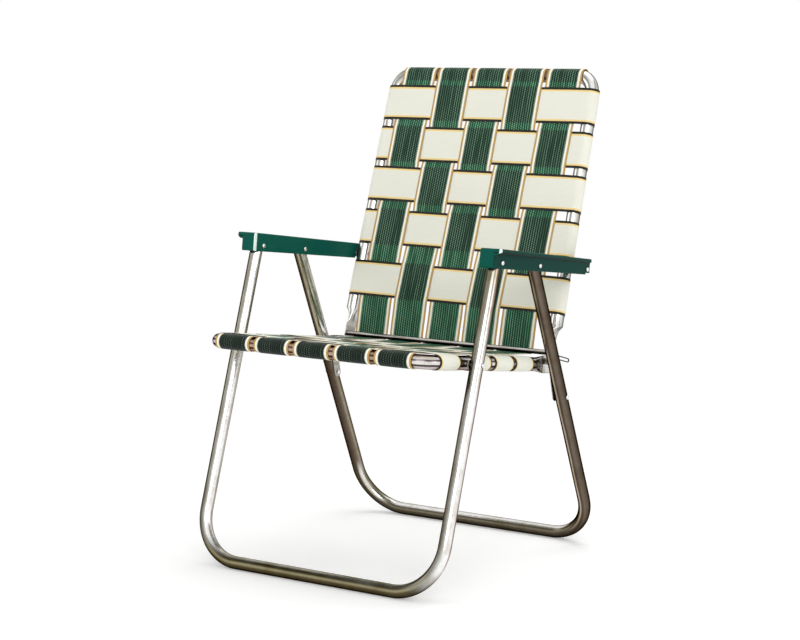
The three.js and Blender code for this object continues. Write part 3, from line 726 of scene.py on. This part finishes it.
def long_strap(i, material):
    """One strap from under the front rail, over the seat, behind the cross rod and up to the top rail."""
    hook = [(-s, h) for s, h in hook_points()]
    half = SEAT_CROSS_WIDTH / 2
    crossings = [(s - half, s + half, not cross_over(seat_row(j), i)) for j, s in enumerate(SEAT_ROWS)]
    path = strap_route(i, SEAT_PLANE, hook[::-1] + flat_run(0, SEAT_STRAP_END, crossings), crossings)
    for k in range(13):
        at = ROD + heading(-90 - ARM_SLOPE + 90 * k / 12) * ROD_WRAP
        path.append((*at, OVER_ROD, long_x(i, BACK_LENGTH, False)))
    half = BACK_CROSS_WIDTH / 2
    back_rows = [row_at(row, long_x(i, s, False)) for row, s in enumerate(BACK_ROWS)]
    crossings = [(s - half, s + half, not cross_over(row, i)) for row, s in enumerate(back_rows)]
    path += strap_route(i, BACK_PLANE, flat_run(BACK_STRAP_END, 0, crossings) + hook, crossings)
    whole = resample(path)
    points = soften(whole[:, :2])
    tangents = np.gradient(points, axis=0)
    widths = across_positions(LONG_WIDTH)
    rng = np.random.default_rng(i + 11)
    drift = np.convolve(rng.normal(0, 1, len(points) + 40), np.ones(41) / 41, "valid") * STRAP_SWAY
    rows = []
    for p, t, x, sway in zip(points, tangents, soften(whole[:, 3:], 12)[:, 0], drift):
        normal = unit(np.array([-t[1], t[0]]))
        up = np.array([0, *normal])
        x += sway
        rows.append([(np.array([x + w, *(p + normal * crown_at(w, LONG_WIDTH))]), up) for w in widths])
    obj = strap_mesh(f"long_strap_{i + 1}", rows, widths, list(whole[:, 2]))
    obj.data.materials.append(material)
    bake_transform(obj)
    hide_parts(f"seat_long_strap_{i + 1}", f"strap_bend_{i + 1}", f"back_long_strap_{i + 1}")
    return obj, run_length(points)


def rail_half(plane, s):
    if plane is SEAT_PLANE:
        into_bend = max(SEAT_BEND - s, 0)
        return SEAT_HALF - SEAT_BEND + sqrt(SEAT_BEND ** 2 - into_bend ** 2)
    return BACK_HALF_TOP + (SEAT_HALF - BACK_HALF_TOP) * s / BACK_LENGTH


def cross_strap(part, number, plane, s, width, material):
    """A strap across the seat or the back, hooked round both sides of its frame."""
    on_seat = plane is SEAT_PLANE
    row = seat_row(number) if on_seat else number
    half = LONG_WIDTH / 2
    widths = across_positions(width)
    columns = []
    for w in widths:
        middles = [long_x(i, s + w, on_seat) for i in range(LONG_COUNT)]
        crossings = [(x - half, x + half, cross_over(row, i)) for i, x in enumerate(middles)]
        rail = rail_half(plane, s + w)
        right = hook_points(rail)
        left = [(-x, h) for x, h in right][::-1]
        flat = [(x, h - sag_at(plane, x, s + w)) for x, h in flat_run(-rail, rail, crossings)]
        columns.append(soften(resample(left + flat + right)))
    count = min(len(column) for column in columns)
    columns = [resample(column, run_length(column) / (count - 0.5)) for column in columns]
    rows = []
    for i in range(min(len(column) for column in columns)):
        row_points = []
        for w, column in zip(widths, columns):
            t = unit(column[min(i + 1, len(column) - 1)] - column[max(i - 1, 0)])
            n = np.array([-t[1], t[0]])
            x, h = column[i] + n * crown_at(w, width)
            along = s + w if on_seat else row_at(row, x) + w
            up = np.array([n[0], 0, 0]) + plane.normal * plane.facing * n[1]
            row_points.append((plane.place(x, along, plane.facing * h), up))
        rows.append(row_points)
    # The material's lines are drawn for the back's wider straps
    obj = strap_mesh(f"{part}_cross_{number + 1}", rows, [w * BACK_CROSS_WIDTH / width for w in widths])
    finish_piece(obj, part, "cream_webbing", material, f"{part}_cross_strap_{number + 1}")
    return obj, run_length(columns[len(columns) // 2])


# Materials
def rgba(*levels):
    """A grey from one level, or a colour from its first three."""
    return (*(levels * 3)[:3], 1)


class Shader:
    """The nodes of a material or a world, with short calls for those that this script uses."""

    def __init__(self, owner, surface="Principled BSDF"):
        owner.use_nodes = True
        self.owner = owner
        self.tree = owner.node_tree
        self.surface = self.tree.nodes[surface]

    def put(self, value, socket):
        if isinstance(value, bpy.types.NodeSocket):
            self.tree.links.new(value, socket)
        else:
            socket.default_value = value

    def node(self, kind, inputs=(), **values):
        """The outputs of a new node, with its inputs by name or number, and its settings."""
        made = self.tree.nodes.new("ShaderNode" + kind)
        for key, value in values.items():
            setattr(made, key, value)
        for key, value in dict(inputs).items():
            self.put(value, made.inputs[key])
        return made.outputs

    def set(self, **values):
        """Sets the surface's inputs, named with _ for a space, and returns the material or world."""
        for name, value in values.items():
            self.put(value, self.surface.inputs[name.replace("_", " ")])
        return self.owner

    def maths(self, operation, a, b=0.0, c=0.0):
        return self.node("Math", {0: a, 1: b, 2: c}, operation=operation)[0]

    def times(self, a, b):
        return self.maths("MULTIPLY", a, b)

    def plus(self, a, b):
        return self.maths("ADD", a, b)

    def linear(self, value, slope, start):
        return self.maths("MULTIPLY_ADD", value, slope, start)

    def above(self, a, b):
        return self.maths("GREATER_THAN", a, b)

    def below(self, a, b):
        return self.maths("LESS_THAN", a, b)

    def mix(self, factor, a, b, blend="MIX"):
        return self.node("Mix", {"Factor": factor, 6: a, 7: b}, data_type="RGBA", blend_type=blend)[2]

    def ramp(self, factor, stops, interpolation="LINEAR"):
        """Each stop is its position and then the levels of its colour."""
        made = self.tree.nodes.new("ShaderNodeValToRGB")
        made.color_ramp.interpolation = interpolation
        elements = made.color_ramp.elements
        while len(elements) < len(stops):
            elements.new(0.5)
        for element, (position, *levels) in zip(elements, stops):
            element.position = position
            element.color = rgba(*levels)
        self.put(factor, made.inputs["Fac"])
        return made.outputs["Color"]

    def noise(self, vector, scale, detail=3.0, roughness=0.5):
        inputs = {"Vector": vector, "Scale": scale, "Detail": detail, "Roughness": roughness}
        return self.node("TexNoise", inputs)["Fac"]

    def stretched(self, vector, scale):
        return self.node("VectorMath", {0: vector, 1: scale}, operation="MULTIPLY")[0]

    def dot(self, vector, direction):
        return self.node("VectorMath", {0: vector, 1: direction}, operation="DOT_PRODUCT")["Value"]

    def towards(self, direction):
        """1 where the surface faces a direction, and 0 where it faces away."""
        return self.linear(self.dot(self.coordinate("Normal"), direction), 0.5, 0.5)

    def flat(self):
        return self.node("UVMap", uv_map="Flat")["UV"]

    def coordinate(self, name):
        return self.node("TexCoord")[name]

    def split(self, vector):
        return self.node("SeparateXYZ", {0: vector})

    def join(self, x, y):
        return self.node("CombineXYZ", {0: x, 1: y})[0]

    def bump(self, height, strength, distance):
        inputs = {"Height": height, "Strength": strength, "Distance": distance}
        self.set(Normal=self.node("Bump", inputs)["Normal"])

    def seen(self):
        """1 for what the camera sees, directly, in a reflection or through glass, and 0 for other light."""
        path = self.node("LightPath")
        indirect = self.maths("MAXIMUM", path["Is Glossy Ray"], path["Is Transmission Ray"])
        return self.maths("MAXIMUM", path["Is Camera Ray"], indirect)


def new_shader(name):
    return Shader(bpy.data.materials.new(name))


# Painted highlights, reflections and shade round the tubes, as stops of a ramp. For the legs and the back 0
# faces -X and 1 faces +X, both turned about a third of a right angle. For the rail, floor bars and rod 0 is
# the underside and 1 the top.
TO_THE_RIGHT = (0.83, 0.56, 0.0)
UPWARD = (0.0, 0.0, 1.0)
UPPER_RIGHT = (0.59, 0.40, 0.71)
NEAR_FRONT_LEG = [
    (0, 0.1, 0.08, 0.05), (0.07, 0.14, 0.12, 0.09), (0.15, 0.1, 0.09, 0.07), (0.23, 0.25, 0.25, 0.22),
    (0.32, 0.48, 0.49, 0.47), (0.4, 0.6, 0.61, 0.6), (0.5, 0.86), (0.6, 0.92), (0.86, 0.9),
    (0.93, 0.5, 0.4, 0.4), (1, 0.28, 0.2, 0.2),
]
NEAR_FRONT_HIGH = [
    (0, 0.3, 0.28, 0.22), (0.12, 0.06, 0.05, 0.035), (0.28, 0.24, 0.22, 0.16), (0.4, 0.19, 0.18, 0.135),
    (0.55, 0.26, 0.245, 0.2), (0.67, 0.44, 0.4, 0.35), (0.76, 0.4, 0.34, 0.28), (0.86, 0.22, 0.16, 0.11),
    (0.93, 0.14, 0.095, 0.06), (1, 0.16, 0.13, 0.1),
]
FAR_FRONT_LEG = [
    (0, 0.3, 0.29, 0.25), (0.06, 0.13, 0.12, 0.09), (0.17, 0.13, 0.125, 0.1), (0.25, 0.25, 0.245, 0.205),
    (0.34, 0.47, 0.46, 0.43), (0.44, 0.92), (0.84, 0.92), (0.91, 0.44, 0.4, 0.37), (1, 0.74, 0.72, 0.68),
]
NEAR_REAR_LEG = [
    (0, 0.045, 0.032, 0.025), (0.11, 0.09, 0.065, 0.045), (0.16, 0.56, 0.46, 0.34), (0.21, 0.42, 0.34, 0.25),
    (0.28, 0.065, 0.05, 0.04), (0.5, 0.17, 0.135, 0.105), (0.72, 0.12, 0.095, 0.07), (1, 0.045, 0.035, 0.03),
]
FAR_REAR_LEG = [
    (0, 0.05, 0.04, 0.025), (0.1, 0.045, 0.035, 0.02), (0.27, 0.1, 0.08, 0.05), (0.36, 0.46, 0.42, 0.3),
    (0.47, 0.5, 0.48, 0.37), (0.58, 0.17, 0.17, 0.12), (0.68, 0.95), (1, 0.95),
]
FAR_REAR_LOW = [
    (0, 0.06, 0.045, 0.035), (0.16, 0.045, 0.03, 0.02), (0.36, 0.085, 0.06, 0.042), (0.56, 0.13, 0.1, 0.075),
    (0.7, 0.2, 0.16, 0.12), (0.8, 0.36, 0.31, 0.24), (0.9, 0.2, 0.17, 0.13), (1, 0.16, 0.14, 0.11),
]
REAR_BEND_HIGHLIGHT = [
    (0, 0.05, 0.04, 0.025), (0.34, 0.09, 0.075, 0.045), (0.46, 0.8, 0.77, 0.71), (0.64, 0.95),
    (0.76, 0.22, 0.2, 0.14), (1, 0.1, 0.09, 0.06),
]
FRONT_FLOOR_BAR = [
    (0, 0.09, 0.075, 0.055), (0.22, 0.075, 0.06, 0.035), (0.44, 0.1, 0.08, 0.04), (0.54, 0.22, 0.19, 0.11),
    (0.61, 0.32, 0.29, 0.18), (0.68, 0.22, 0.19, 0.11), (0.75, 0.035, 0.03, 0.012),
    (0.89, 0.02, 0.017, 0.008), (0.95, 0.3, 0.28, 0.22), (1, 0.6, 0.58, 0.52),
]
REAR_FLOOR_BAR = [
    (0, 0.1, 0.09, 0.07), (0.18, 0.055, 0.045, 0.032), (0.43, 0.085, 0.07, 0.05), (0.52, 0.13, 0.115, 0.08),
    (0.59, 0.22, 0.195, 0.14), (0.66, 0.1, 0.085, 0.06), (0.74, 0.07, 0.06, 0.045), (0.78, 0.36, 0.34, 0.31),
    (0.83, 0.95), (1, 0.95),
]
BACK_TUBE = [
    (0, 0.25, 0.24, 0.23), (0.12, 0.7), (0.26, 0.3, 0.31, 0.3), (0.4, 0.85), (0.62, 0.92),
    (0.7, 0.26, 0.27, 0.26), (0.8, 0.7), (1, 0.16, 0.15, 0.14),
]
RAIL = [
    (0, 0.1, 0.07, 0.08), (0.06, 0.85, 0.78, 0.82), (0.2, 0.85, 0.8, 0.82), (0.26, 0.07, 0.05, 0.065),
    (0.36, 0.09, 0.07, 0.085), (0.42, 0.92), (0.57, 0.92), (0.63, 0.12, 0.095, 0.11),
    (0.71, 0.16, 0.13, 0.15), (0.76, 0.85), (0.86, 0.6), (0.9, 0.07, 0.05, 0.045), (1, 0.05, 0.04, 0.035),
]
ROD_BAR = [
    (0, 0.012, 0.01, 0.009), (0.56, 0.018, 0.016, 0.014), (0.68, 0.42, 0.41, 0.38), (0.9, 0.62, 0.61, 0.58),
    (1, 0.3, 0.29, 0.27),
]

# Shares by height over the floor, where one painted shading of a leg gives way to another
FAR_LOW_FADE = [(0.34, 1), (0.38, 0)]
NEAR_HIGH_FADE = [(0.34, 0), (0.54, 1)]
FLOOR_BAR_FADE = [(0.028, 1), (0.066, 0)]
FLOOR_BAR_CLOUDS = 0.02
REAR_BEND_FADE = [(0.020, 0), (0.036, 1), (0.080, 1), (0.110, 0)]

# Depths of the surfaces' relief
DRAWN_DEPTH = 0.00004
GRAIN_DEPTH = 0.0001
GREEN_WEAVE_DEPTH = 0.00035
CREAM_WEAVE_DEPTH = 0.0002


def tube_material(name, near_shading, far_shading, streaks, floor_bar=(), far_low_shading=(), near_high_shading=(), strap_shade=0):
    """Drawn aluminium tube with streaks along its length and smudges, and painted highlights, reflections
    and shade round its sides.
    """
    s = new_shader(name)
    place = s.coordinate("Object")
    x, z = s.split(place)[0], s.split(place)[2]
    cloud = s.noise(place, 9.0, 4.0, 0.6)
    wander = s.linear(cloud, 0.10, -0.05)
    upward = s.towards(UPWARD)
    # Painted highlights, reflections and shade by facing, differing for near and far legs and by height
    if far_shading:
        turned = s.plus(s.towards(TO_THE_RIGHT), wander)
        far_colour = s.ramp(turned, far_shading)
        near_colour = s.ramp(turned, near_shading)
        if far_low_shading:
            far_colour = s.mix(s.ramp(z, FAR_LOW_FADE), far_colour, s.ramp(turned, far_low_shading))
        if near_high_shading:
            near_colour = s.mix(s.ramp(z, NEAR_HIGH_FADE), near_colour, s.ramp(turned, near_high_shading))
        colour = s.mix(s.above(x, 0.0), far_colour, near_colour)
    else:
        colour = s.ramp(s.plus(upward, wander), near_shading)
    # Painted highlights and shade round the floor bars
    if floor_bar:
        near_floor = s.ramp(s.linear(cloud, FLOOR_BAR_CLOUDS, z), FLOOR_BAR_FADE)
        colour = s.mix(near_floor, colour, s.ramp(upward, floor_bar))
    # Painted highlight along the middle of the far rear leg's bend
    if far_low_shading:
        bend_highlight = s.times(s.ramp(z, REAR_BEND_FADE), s.below(x, LEG_BEND - LEG_HALF))
        colour = s.mix(bend_highlight, colour, s.ramp(s.towards(UPPER_RIGHT), REAR_BEND_HIGHLIGHT))
    flat = s.flat()
    across, along = s.split(flat)[:2]
    streak = s.noise(s.join(across, s.times(along, 0.02)), 240.0, 3.0, 0.65)
    streak = s.ramp(streak, [(0.36, *BROWN), (0.47, 0.9), (0.56, *GOLD_STREAK), (0.68, 1)])
    colour = s.mix(streaks, colour, streak, "MULTIPLY")
    # Painted shade and reflected strap colour on the frame where the webbing wraps it
    if strap_shade:
        between = s.below(s.maths("ABSOLUTE", x), LONG_PITCH * LONG_COUNT / 2 - LONG_PITCH / 4)
        colour = s.mix(s.times(between, strap_shade), colour, STRAP_SHADE_COLOUR, "MULTIPLY")
    patch = s.ramp(s.noise(place, 26.0, 4.0, 0.6), [(0.38, *SMUDGE), (0.56, 1)])
    drawn = s.noise(s.stretched(flat, (2600.0, 2.5, 1.0)), 1.0, 3.0, 0.7)
    s.bump(drawn, 0.02, DRAWN_DEPTH)
    colour = s.mix(0.7, colour, patch, "MULTIPLY")
    roughness = s.linear(drawn, 0.08, s.linear(cloud, 0.12, 0.12))
    return s.set(Base_Color=colour, Specular_Tint=TUBE_EDGE, Roughness=roughness, Metallic=1.0)


def metal_material(name, colour, worn, roughness):
    """Plated or bare small metal parts."""
    s = new_shader(name)
    place = s.coordinate("Object")
    cloud = s.noise(place, 160.0, 4.0, 0.6)
    s.bump(s.noise(place, 1800.0, 2.0, 0.6), 0.08, GRAIN_DEPTH)
    colour = s.mix(s.ramp(cloud, [(0.42, 0), (0.72, 1)]), rgba(*colour), rgba(*worn))
    return s.set(Base_Color=colour, Roughness=s.linear(cloud, 0.2, roughness), Metallic=1.0)


def plastic_material():
    """Moulded green plastic, faintly grained, paler where it is worn, with painted shade, shadow and
    highlights.
    """
    s = new_shader("arm_plastic")
    place = s.coordinate("Object")
    x = s.split(place)[0]
    into = s.plus(s.dot(place, (0, *ARM_ALONG)), ARM_REACH - float(ARM_FRONT @ ARM_ALONG))
    high = s.plus(s.dot(place, (0, *ARM_UP)), -float(ARM_FRONT @ ARM_UP))
    inmost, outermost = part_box("arm_left")
    cloud = s.noise(place, 22.0, 4.0, 0.55)
    scratch = s.noise(s.stretched(place, (900.0, 28.0, 900.0)), 1.0, 2.0, 0.7)
    worn = s.ramp(s.times(cloud, scratch), [(0.30, 0), (0.48, 0.75)])
    colour = s.mix(worn, ARM_GREEN, ARM_GREEN_WORN)
    # Painted shade: darker on the left arm's outer side
    outward = s.times(s.split(s.coordinate("Normal"))[0], 1.4)
    deep = s.times(s.above(x, 0.0), s.ramp(outward, [(0.3, 0), (1.0, 1)]))
    colour = s.mix(deep, colour, ARM_GREEN_SHADED)
    # Painted shadow along the fold under the lip
    slope = (ARM_TOP_REAR - ARM_TOP_FRONT) / ARM_LENGTH
    under = s.plus(s.times(into, slope), s.maths("SUBTRACT", ARM_TOP_FRONT - LIP_THICKNESS, high))
    lip_shadow = s.ramp(s.maths("DIVIDE", s.maths("ABSOLUTE", under), LIP_SHADOW_BAND), [(0.0, 0.85), (1.0, 0)])
    outside = s.above(s.maths("ABSOLUTE", x), outermost.x - LIP_WIDTH - LIP_SHADOW_BAND)
    colour = s.mix(s.times(lip_shadow, outside), colour, SHADE_GREEN)
    # Painted highlights along the inner edge of the right arm's nose, and at the front of the left arm's lip
    beside = s.linear(x, -1.0, -inmost.x)
    nose_highlight = s.times(s.below(beside, HIGHLIGHT_ACROSS), s.below(into, HIGHLIGHT_ALONG))
    nose_highlight = s.times(nose_highlight, s.below(x, 0.0))
    lip_glint = s.times(s.above(x, outermost.x - HIGHLIGHT_ACROSS * 2), s.below(into, HIGHLIGHT_ALONG * 0.8))
    colour = s.mix(s.maths("MAXIMUM", nose_highlight, lip_glint), colour, ARM_HIGHLIGHT)
    s.bump(s.noise(place, 1500.0, 2.0, 0.5), 0.10, GRAIN_DEPTH)
    return s.set(Base_Color=colour, Roughness=s.linear(cloud, 0.14, 0.18), Specular_IOR_Level=0.04)


# Webbing: yarn pitches, and where the coloured lines start, from the middle of a strap
WARP_PITCH = 0.0050
WEFT_PITCH = 0.0033
GREEN_LINES_AT = (0.0286, 0.0291, 0.0340, 0.0370)
CREAM_LINES_AT = (0.0270, 0.0303)


def weave(s, u, v, fineness):
    """Height and column number of a plain weave whose yarns run along v."""
    column = s.maths("DIVIDE", u, WARP_PITCH * fineness)
    number = s.maths("FLOOR", column)
    rib = s.maths("ABSOLUTE", s.maths("SINE", s.times(column, pi)))
    row = s.plus(s.maths("DIVIDE", v, WEFT_PITCH * fineness), s.times(number, 0.5))
    bead = s.maths("ABSOLUTE", s.maths("SINE", s.times(row, pi)))
    return s.times(rib, s.linear(bead, 0.6, 0.4)), number


def edge_lines(s, u, width, starts, colours):
    """Colour of the lines along a strap's edges, and where they are."""
    half = width / 2
    edge = s.maths("DIVIDE", s.maths("ABSOLUTE", u), half)
    stops = [(start / half, *colour) for start, colour in zip((0.0, *starts[1:]), colours)]
    return s.ramp(edge, stops, "CONSTANT"), s.above(edge, starts[0] / half)


def webbing_shader(name, fineness, streak_scale, cloud_scale):
    """A webbing's shader, places across and along it, its weave's height, and its streaks and clouds."""
    s = new_shader(name)
    u, v = s.split(s.flat())[:2]
    height, number = weave(s, u, v, fineness)
    streak = s.noise(s.join(s.times(number, 0.73), s.times(v, streak_scale)), 3.0, 2.0)
    return s, u, v, height, streak, s.noise(s.coordinate("Object"), cloud_scale)


def green_material():
    """Green webbing with black, white, gold and brown lines along each edge. It is painted lighter where
    light would come through it, with painted glints on its yarns and painted shade in its weave's hollows
    and over the front rail."""
    s, u, v, height, streak, cloud = webbing_shader("green_webbing", 1.0, 3.0, 14.0)
    band = s.noise(s.join(u, s.times(v, 0.03)), 95.0, 2.0)
    backed = s.node("Attribute", attribute_name="backed")["Fac"]
    front_rail_shade = s.maths("MAXIMUM", s.plus(backed, -1.0), 0.0)
    # Painted light: lighter where little is behind the strap
    light = s.maths("MAXIMUM", s.linear(backed, -0.84, 1.0), 0.0)
    light = s.times(light, s.linear(cloud, 0.7, 0.45))
    light = s.times(light, s.linear(s.ramp(band, [(0.3, 0), (0.7, 1)]), 0.7, 0.55))
    body = s.mix(light, GREEN_DARK, GREEN_LIT)
    body = s.mix(s.ramp(streak, [(0.35, 0.5), (0.65, 0)]), body, GREEN_DARK)
    # Painted shade over the front rail
    body = s.mix(s.times(front_rail_shade, 0.95), body, SHADE_GREEN)
    # Painted glints on the crowns of the yarns, fewer in the painted shade
    glints = s.times(s.ramp(height, [(0.74, 0), (0.86, 1)]), s.ramp(streak, [(0.36, 0.25), (0.58, 1)]))
    glints = s.times(glints, s.linear(light, 0.30, 0.6))
    body = s.mix(s.times(glints, s.linear(front_rail_shade, -0.65, 1.0)), body, GREEN_GLINT)
    # Painted shade in the weave's hollows
    body = s.mix(1.0, body, s.ramp(height, [(0.0, 0.35), (0.5, 1)]), "MULTIPLY")
    lines, is_line = edge_lines(s, u, LONG_WIDTH, GREEN_LINES_AT, (BLACK_LINE, WHITE_LINE, GOLD, SELVAGE))
    # Painted shade in the weave's hollows
    lines = s.mix(1.0, lines, s.ramp(height, [(0.0, 0.7), (0.5, 1)]), "MULTIPLY")
    colour = s.mix(is_line, body, lines)
    s.bump(height, 0.6, GREEN_WEAVE_DEPTH)
    return s.set(Base_Color=colour, Roughness=s.linear(height, -0.15, 0.55), Specular_IOR_Level=0.12)


def cream_material():
    """Finer cream webbing with gold and black lines along each edge, and painted shade in its weave's
    hollows.
    """
    s, u, v, height, streak, cloud = webbing_shader("cream_webbing", 0.45, 2.0, 11.0)
    body = s.mix(s.times(s.plus(streak, cloud), 0.4), CREAM, CREAM_SHADE)
    # Painted shade in the weave's hollows
    body = s.mix(1.0, body, s.ramp(height, [(0.0, 0.86), (0.4, 1)]), "MULTIPLY")
    lines, is_line = edge_lines(s, u, BACK_CROSS_WIDTH, CREAM_LINES_AT, (CREAM_GOLD, BLACK_LINE))
    s.bump(height, 0.35, CREAM_WEAVE_DEPTH)
    return s.set(Base_Color=s.mix(is_line, body, lines), Roughness=0.5, Specular_IOR_Level=0.25)


# Lights, floor and camera
def area_light(name, place, size, power):
    data = bpy.data.lights.new(name, "AREA")
    data.shape = "RECTANGLE"
    data.size, data.size_y = size
    data.energy = power
    obj = add_object(name, data)
    obj.location = place
    direction = Vector(CHAIR_MIDDLE) - obj.location
    obj.rotation_euler = direction.to_track_quat("-Z", "Y").to_euler()


def world():
    """A white backdrop, which lights the chair with less than it shows."""
    s = Shader(bpy.data.worlds.new("studio"), "Background")
    strength = s.node("MapRange", {"Value": s.seen(), "To Min": AMBIENT, "To Max": 1.0})["Result"]
    scene.world = s.set(Color=rgba(1), Strength=strength)


def floor():
    """A white floor. It takes the chair's shadow, and farther off it merges with the backdrop."""
    mesh = bpy.data.meshes.new("floor")
    half = FLOOR_SIZE / 2
    corners = [(-half, -half, 0), (half, -half, 0), (half, half, 0), (-half, half, 0)]
    mesh.from_pydata(corners, [], [(0, 1, 2, 3)])
    obj = add_object("floor", mesh)
    s = new_shader("floor")
    seen = s.seen()
    glow = s.times(seen, FLOOR_GLOW)
    s.set(Base_Color=rgba(0.93), Roughness=0.9, Specular_IOR_Level=0.1)
    s.set(Emission_Color=rgba(1), Emission_Strength=glow)
    length = s.node("VectorMath", {0: s.coordinate("Object")}, operation="LENGTH")["Value"]
    reach = {"Value": length, "From Min": SHADOW_REACH[0], "From Max": SHADOW_REACH[1]}
    amount = s.times(seen, s.node("MapRange", reach, interpolation_type="SMOOTHSTEP")["Result"])
    plain = s.node("Emission")["Emission"]
    mixed = s.node("MixShader", {0: amount, 1: s.surface.outputs["BSDF"], 2: plain})["Shader"]
    s.put(mixed, s.tree.nodes["Material Output"].inputs["Surface"])
    obj.data.materials.append(s.owner)


def camera():
    data = bpy.data.cameras.new("camera")
    data.lens = CAMERA_LENS
    obj = add_object("camera", data)
    turn = Matrix.Rotation(radians(CAMERA_YAW), 4, "Z")
    tilt = Matrix.Rotation(radians(90 - CAMERA_PITCH), 4, "X")
    roll = Matrix.Rotation(radians(CAMERA_ROLL), 4, "Z")
    obj.matrix_world = Matrix.Translation(CAMERA_PLACE) @ turn @ tilt @ roll
    scene.camera = obj


# The chair
def leg_frame(name, bar, top, overrun, body, material):
    length = float(norm(top - bar)) + overrun
    distances = np.linspace(LEG_BEND, length, 24)
    stations = u_stations(LEG_HALF, LEG_HALF, length, LEG_BEND, lambda s: LEG_SECTION, distances)
    obj = hollow_frame(f"tube_{name}", Plane(bar, unit(top - bar)), stations)
    finish_piece(obj, body, "leg_tube", material, name)


def rail_frame(name, plane, overrun, half, bend, body, material):
    pivot = plane.length
    length = pivot + overrun
    half_end = half + (SEAT_HALF - half) * length / pivot
    plate = length - PLATE_HALF_HEIGHT
    distances = list(np.linspace(bend, pivot - CRIMP_START, 24))
    distances += list(np.linspace(pivot - CRIMP_START, pivot - CRIMP_END, 18)[1:])
    distances += list(np.linspace(pivot - CRIMP_END, plate, 6)[1:])
    distances += [plate + PLATE_HALF_HEIGHT * sin(k / 12 * pi / 2) for k in range(1, 13)]

    def section_at(s):
        return crimp_section(pivot - s, overrun, plane.facing)

    stations = u_stations(half, half_end, length, bend, section_at, distances)
    obj = hollow_frame(f"tube_{name}", plane, stations)
    finish_piece(obj, body, "rail_tube", material, name)


def rod(material):
    low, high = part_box("cross_rod")
    edge = ROD_RADIUS * RIM_SHARE
    profile = [(low.x, 0), (low.x, ROD_RADIUS - edge), (low.x + edge, ROD_RADIUS)]
    profile += [(x, ROD_RADIUS) for x in np.linspace(low.x + edge, high.x - edge, 12)[1:]]
    profile += [(high.x, ROD_RADIUS - edge), (high.x, 0)]
    finish_piece(lathe("smooth_cross_rod", profile, ROD), "back", "zinc_steel", material, "cross_rod")


def hardware(rivet_metal, zinc_metal, link_metal, keeper_metal):
    for name, body, inner_head, outer_head in (
        ("arm_front_leg", "arms", True, True), ("arm_rear_leg", "arms", True, True),
        ("arm_back", "arms", True, True), ("seat_front_leg", "front_legs", True, True),
        ("seat_back", "seat", True, True), ("link_seat", "seat", True, False),
        ("link_button", "links", True, False), ("link_rear_leg", "rear_legs", False, True),
    ):
        rivets(f"rivet_{name}", body, inner_head, outer_head, rivet_metal)
    for name, body in (("arm_back", "arms"), ("seat_front_leg", "front_legs"), ("seat_back", "seat")):
        collars(f"washer_{name}", body, WASHER_RADIUS, zinc_metal)
    collars("spacer_link_seat", "seat", SPACER_RADIUS, zinc_metal)
    links(link_metal)
    keeper_wires(keeper_metal)


def webbing(green_web, cream_web):
    for i in range(LONG_COUNT):
        obj, length = long_strap(i, green_web)
    for part, plane, places, width in (
        ("seat", SEAT_PLANE, SEAT_ROWS, SEAT_CROSS_WIDTH), ("back", BACK_PLANE, BACK_ROWS, BACK_CROSS_WIDTH),
    ):
        for number, s in enumerate(places):
            obj, length = cross_strap(part, number, plane, s, width, cream_web)


camera()
world()
floor()
area_light("key", (2.6, -3.4, 2.3), (2.8, 1.6), 62)
area_light("side", (3.9, 0.2, 1.5), (1.4, 1.6), 14)
area_light("fill", (-3.2, -2.2, 1.8), (1.6, 1.6), 16)
area_light("top", (0.2, 1.0, 3.4), (2.4, 2.4), 30)
scene.view_settings.view_transform = "Standard"

front_metal = tube_material(
    "leg_tube", NEAR_FRONT_LEG, FAR_FRONT_LEG, 0.03, FRONT_FLOOR_BAR, near_high_shading=NEAR_FRONT_HIGH)
rear_metal = tube_material("rear_leg_tube", NEAR_REAR_LEG, FAR_REAR_LEG, 0.10, REAR_FLOOR_BAR, FAR_REAR_LOW)
seat_metal = tube_material("seat_tube", RAIL, (), 0.3, strap_shade=0.8)
back_metal = tube_material("back_tube", BACK_TUBE, BACK_TUBE, 0.2, strap_shade=0.8)
leg_frame("front_leg_frame", FRONT_BAR, ARM_FRONT, FRONT_LEG_OVERRUN, "front_legs", front_metal)
leg_frame("rear_leg_frame", REAR_BAR, ARM_MIDDLE, REAR_LEG_OVERRUN, "rear_legs", rear_metal)
rail_frame("seat_frame", SEAT_PLANE, SEAT_OVERRUN, SEAT_HALF, SEAT_BEND, "seat", seat_metal)
rail_frame("back_frame", BACK_PLANE, BACK_OVERRUN, BACK_HALF_TOP, BACK_BEND, "back", back_metal)
rod(tube_material("rod_steel", ROD_BAR, (), 0.0))
hardware(
    metal_material("rivet_aluminium", (0.86, 0.85, 0.83), (0.6, 0.57, 0.52), 0.14),
    metal_material("zinc_steel", (0.30, 0.29, 0.27), (0.12, 0.10, 0.08), 0.22),
    metal_material("link_steel", (0.42, 0.41, 0.38), (0.20, 0.18, 0.15), 0.22),
    metal_material("keeper_steel", (0.10, 0.085, 0.08), (0.05, 0.04, 0.035), 0.26),
)
arms(plastic_material())
webbing(green_material(), cream_material())
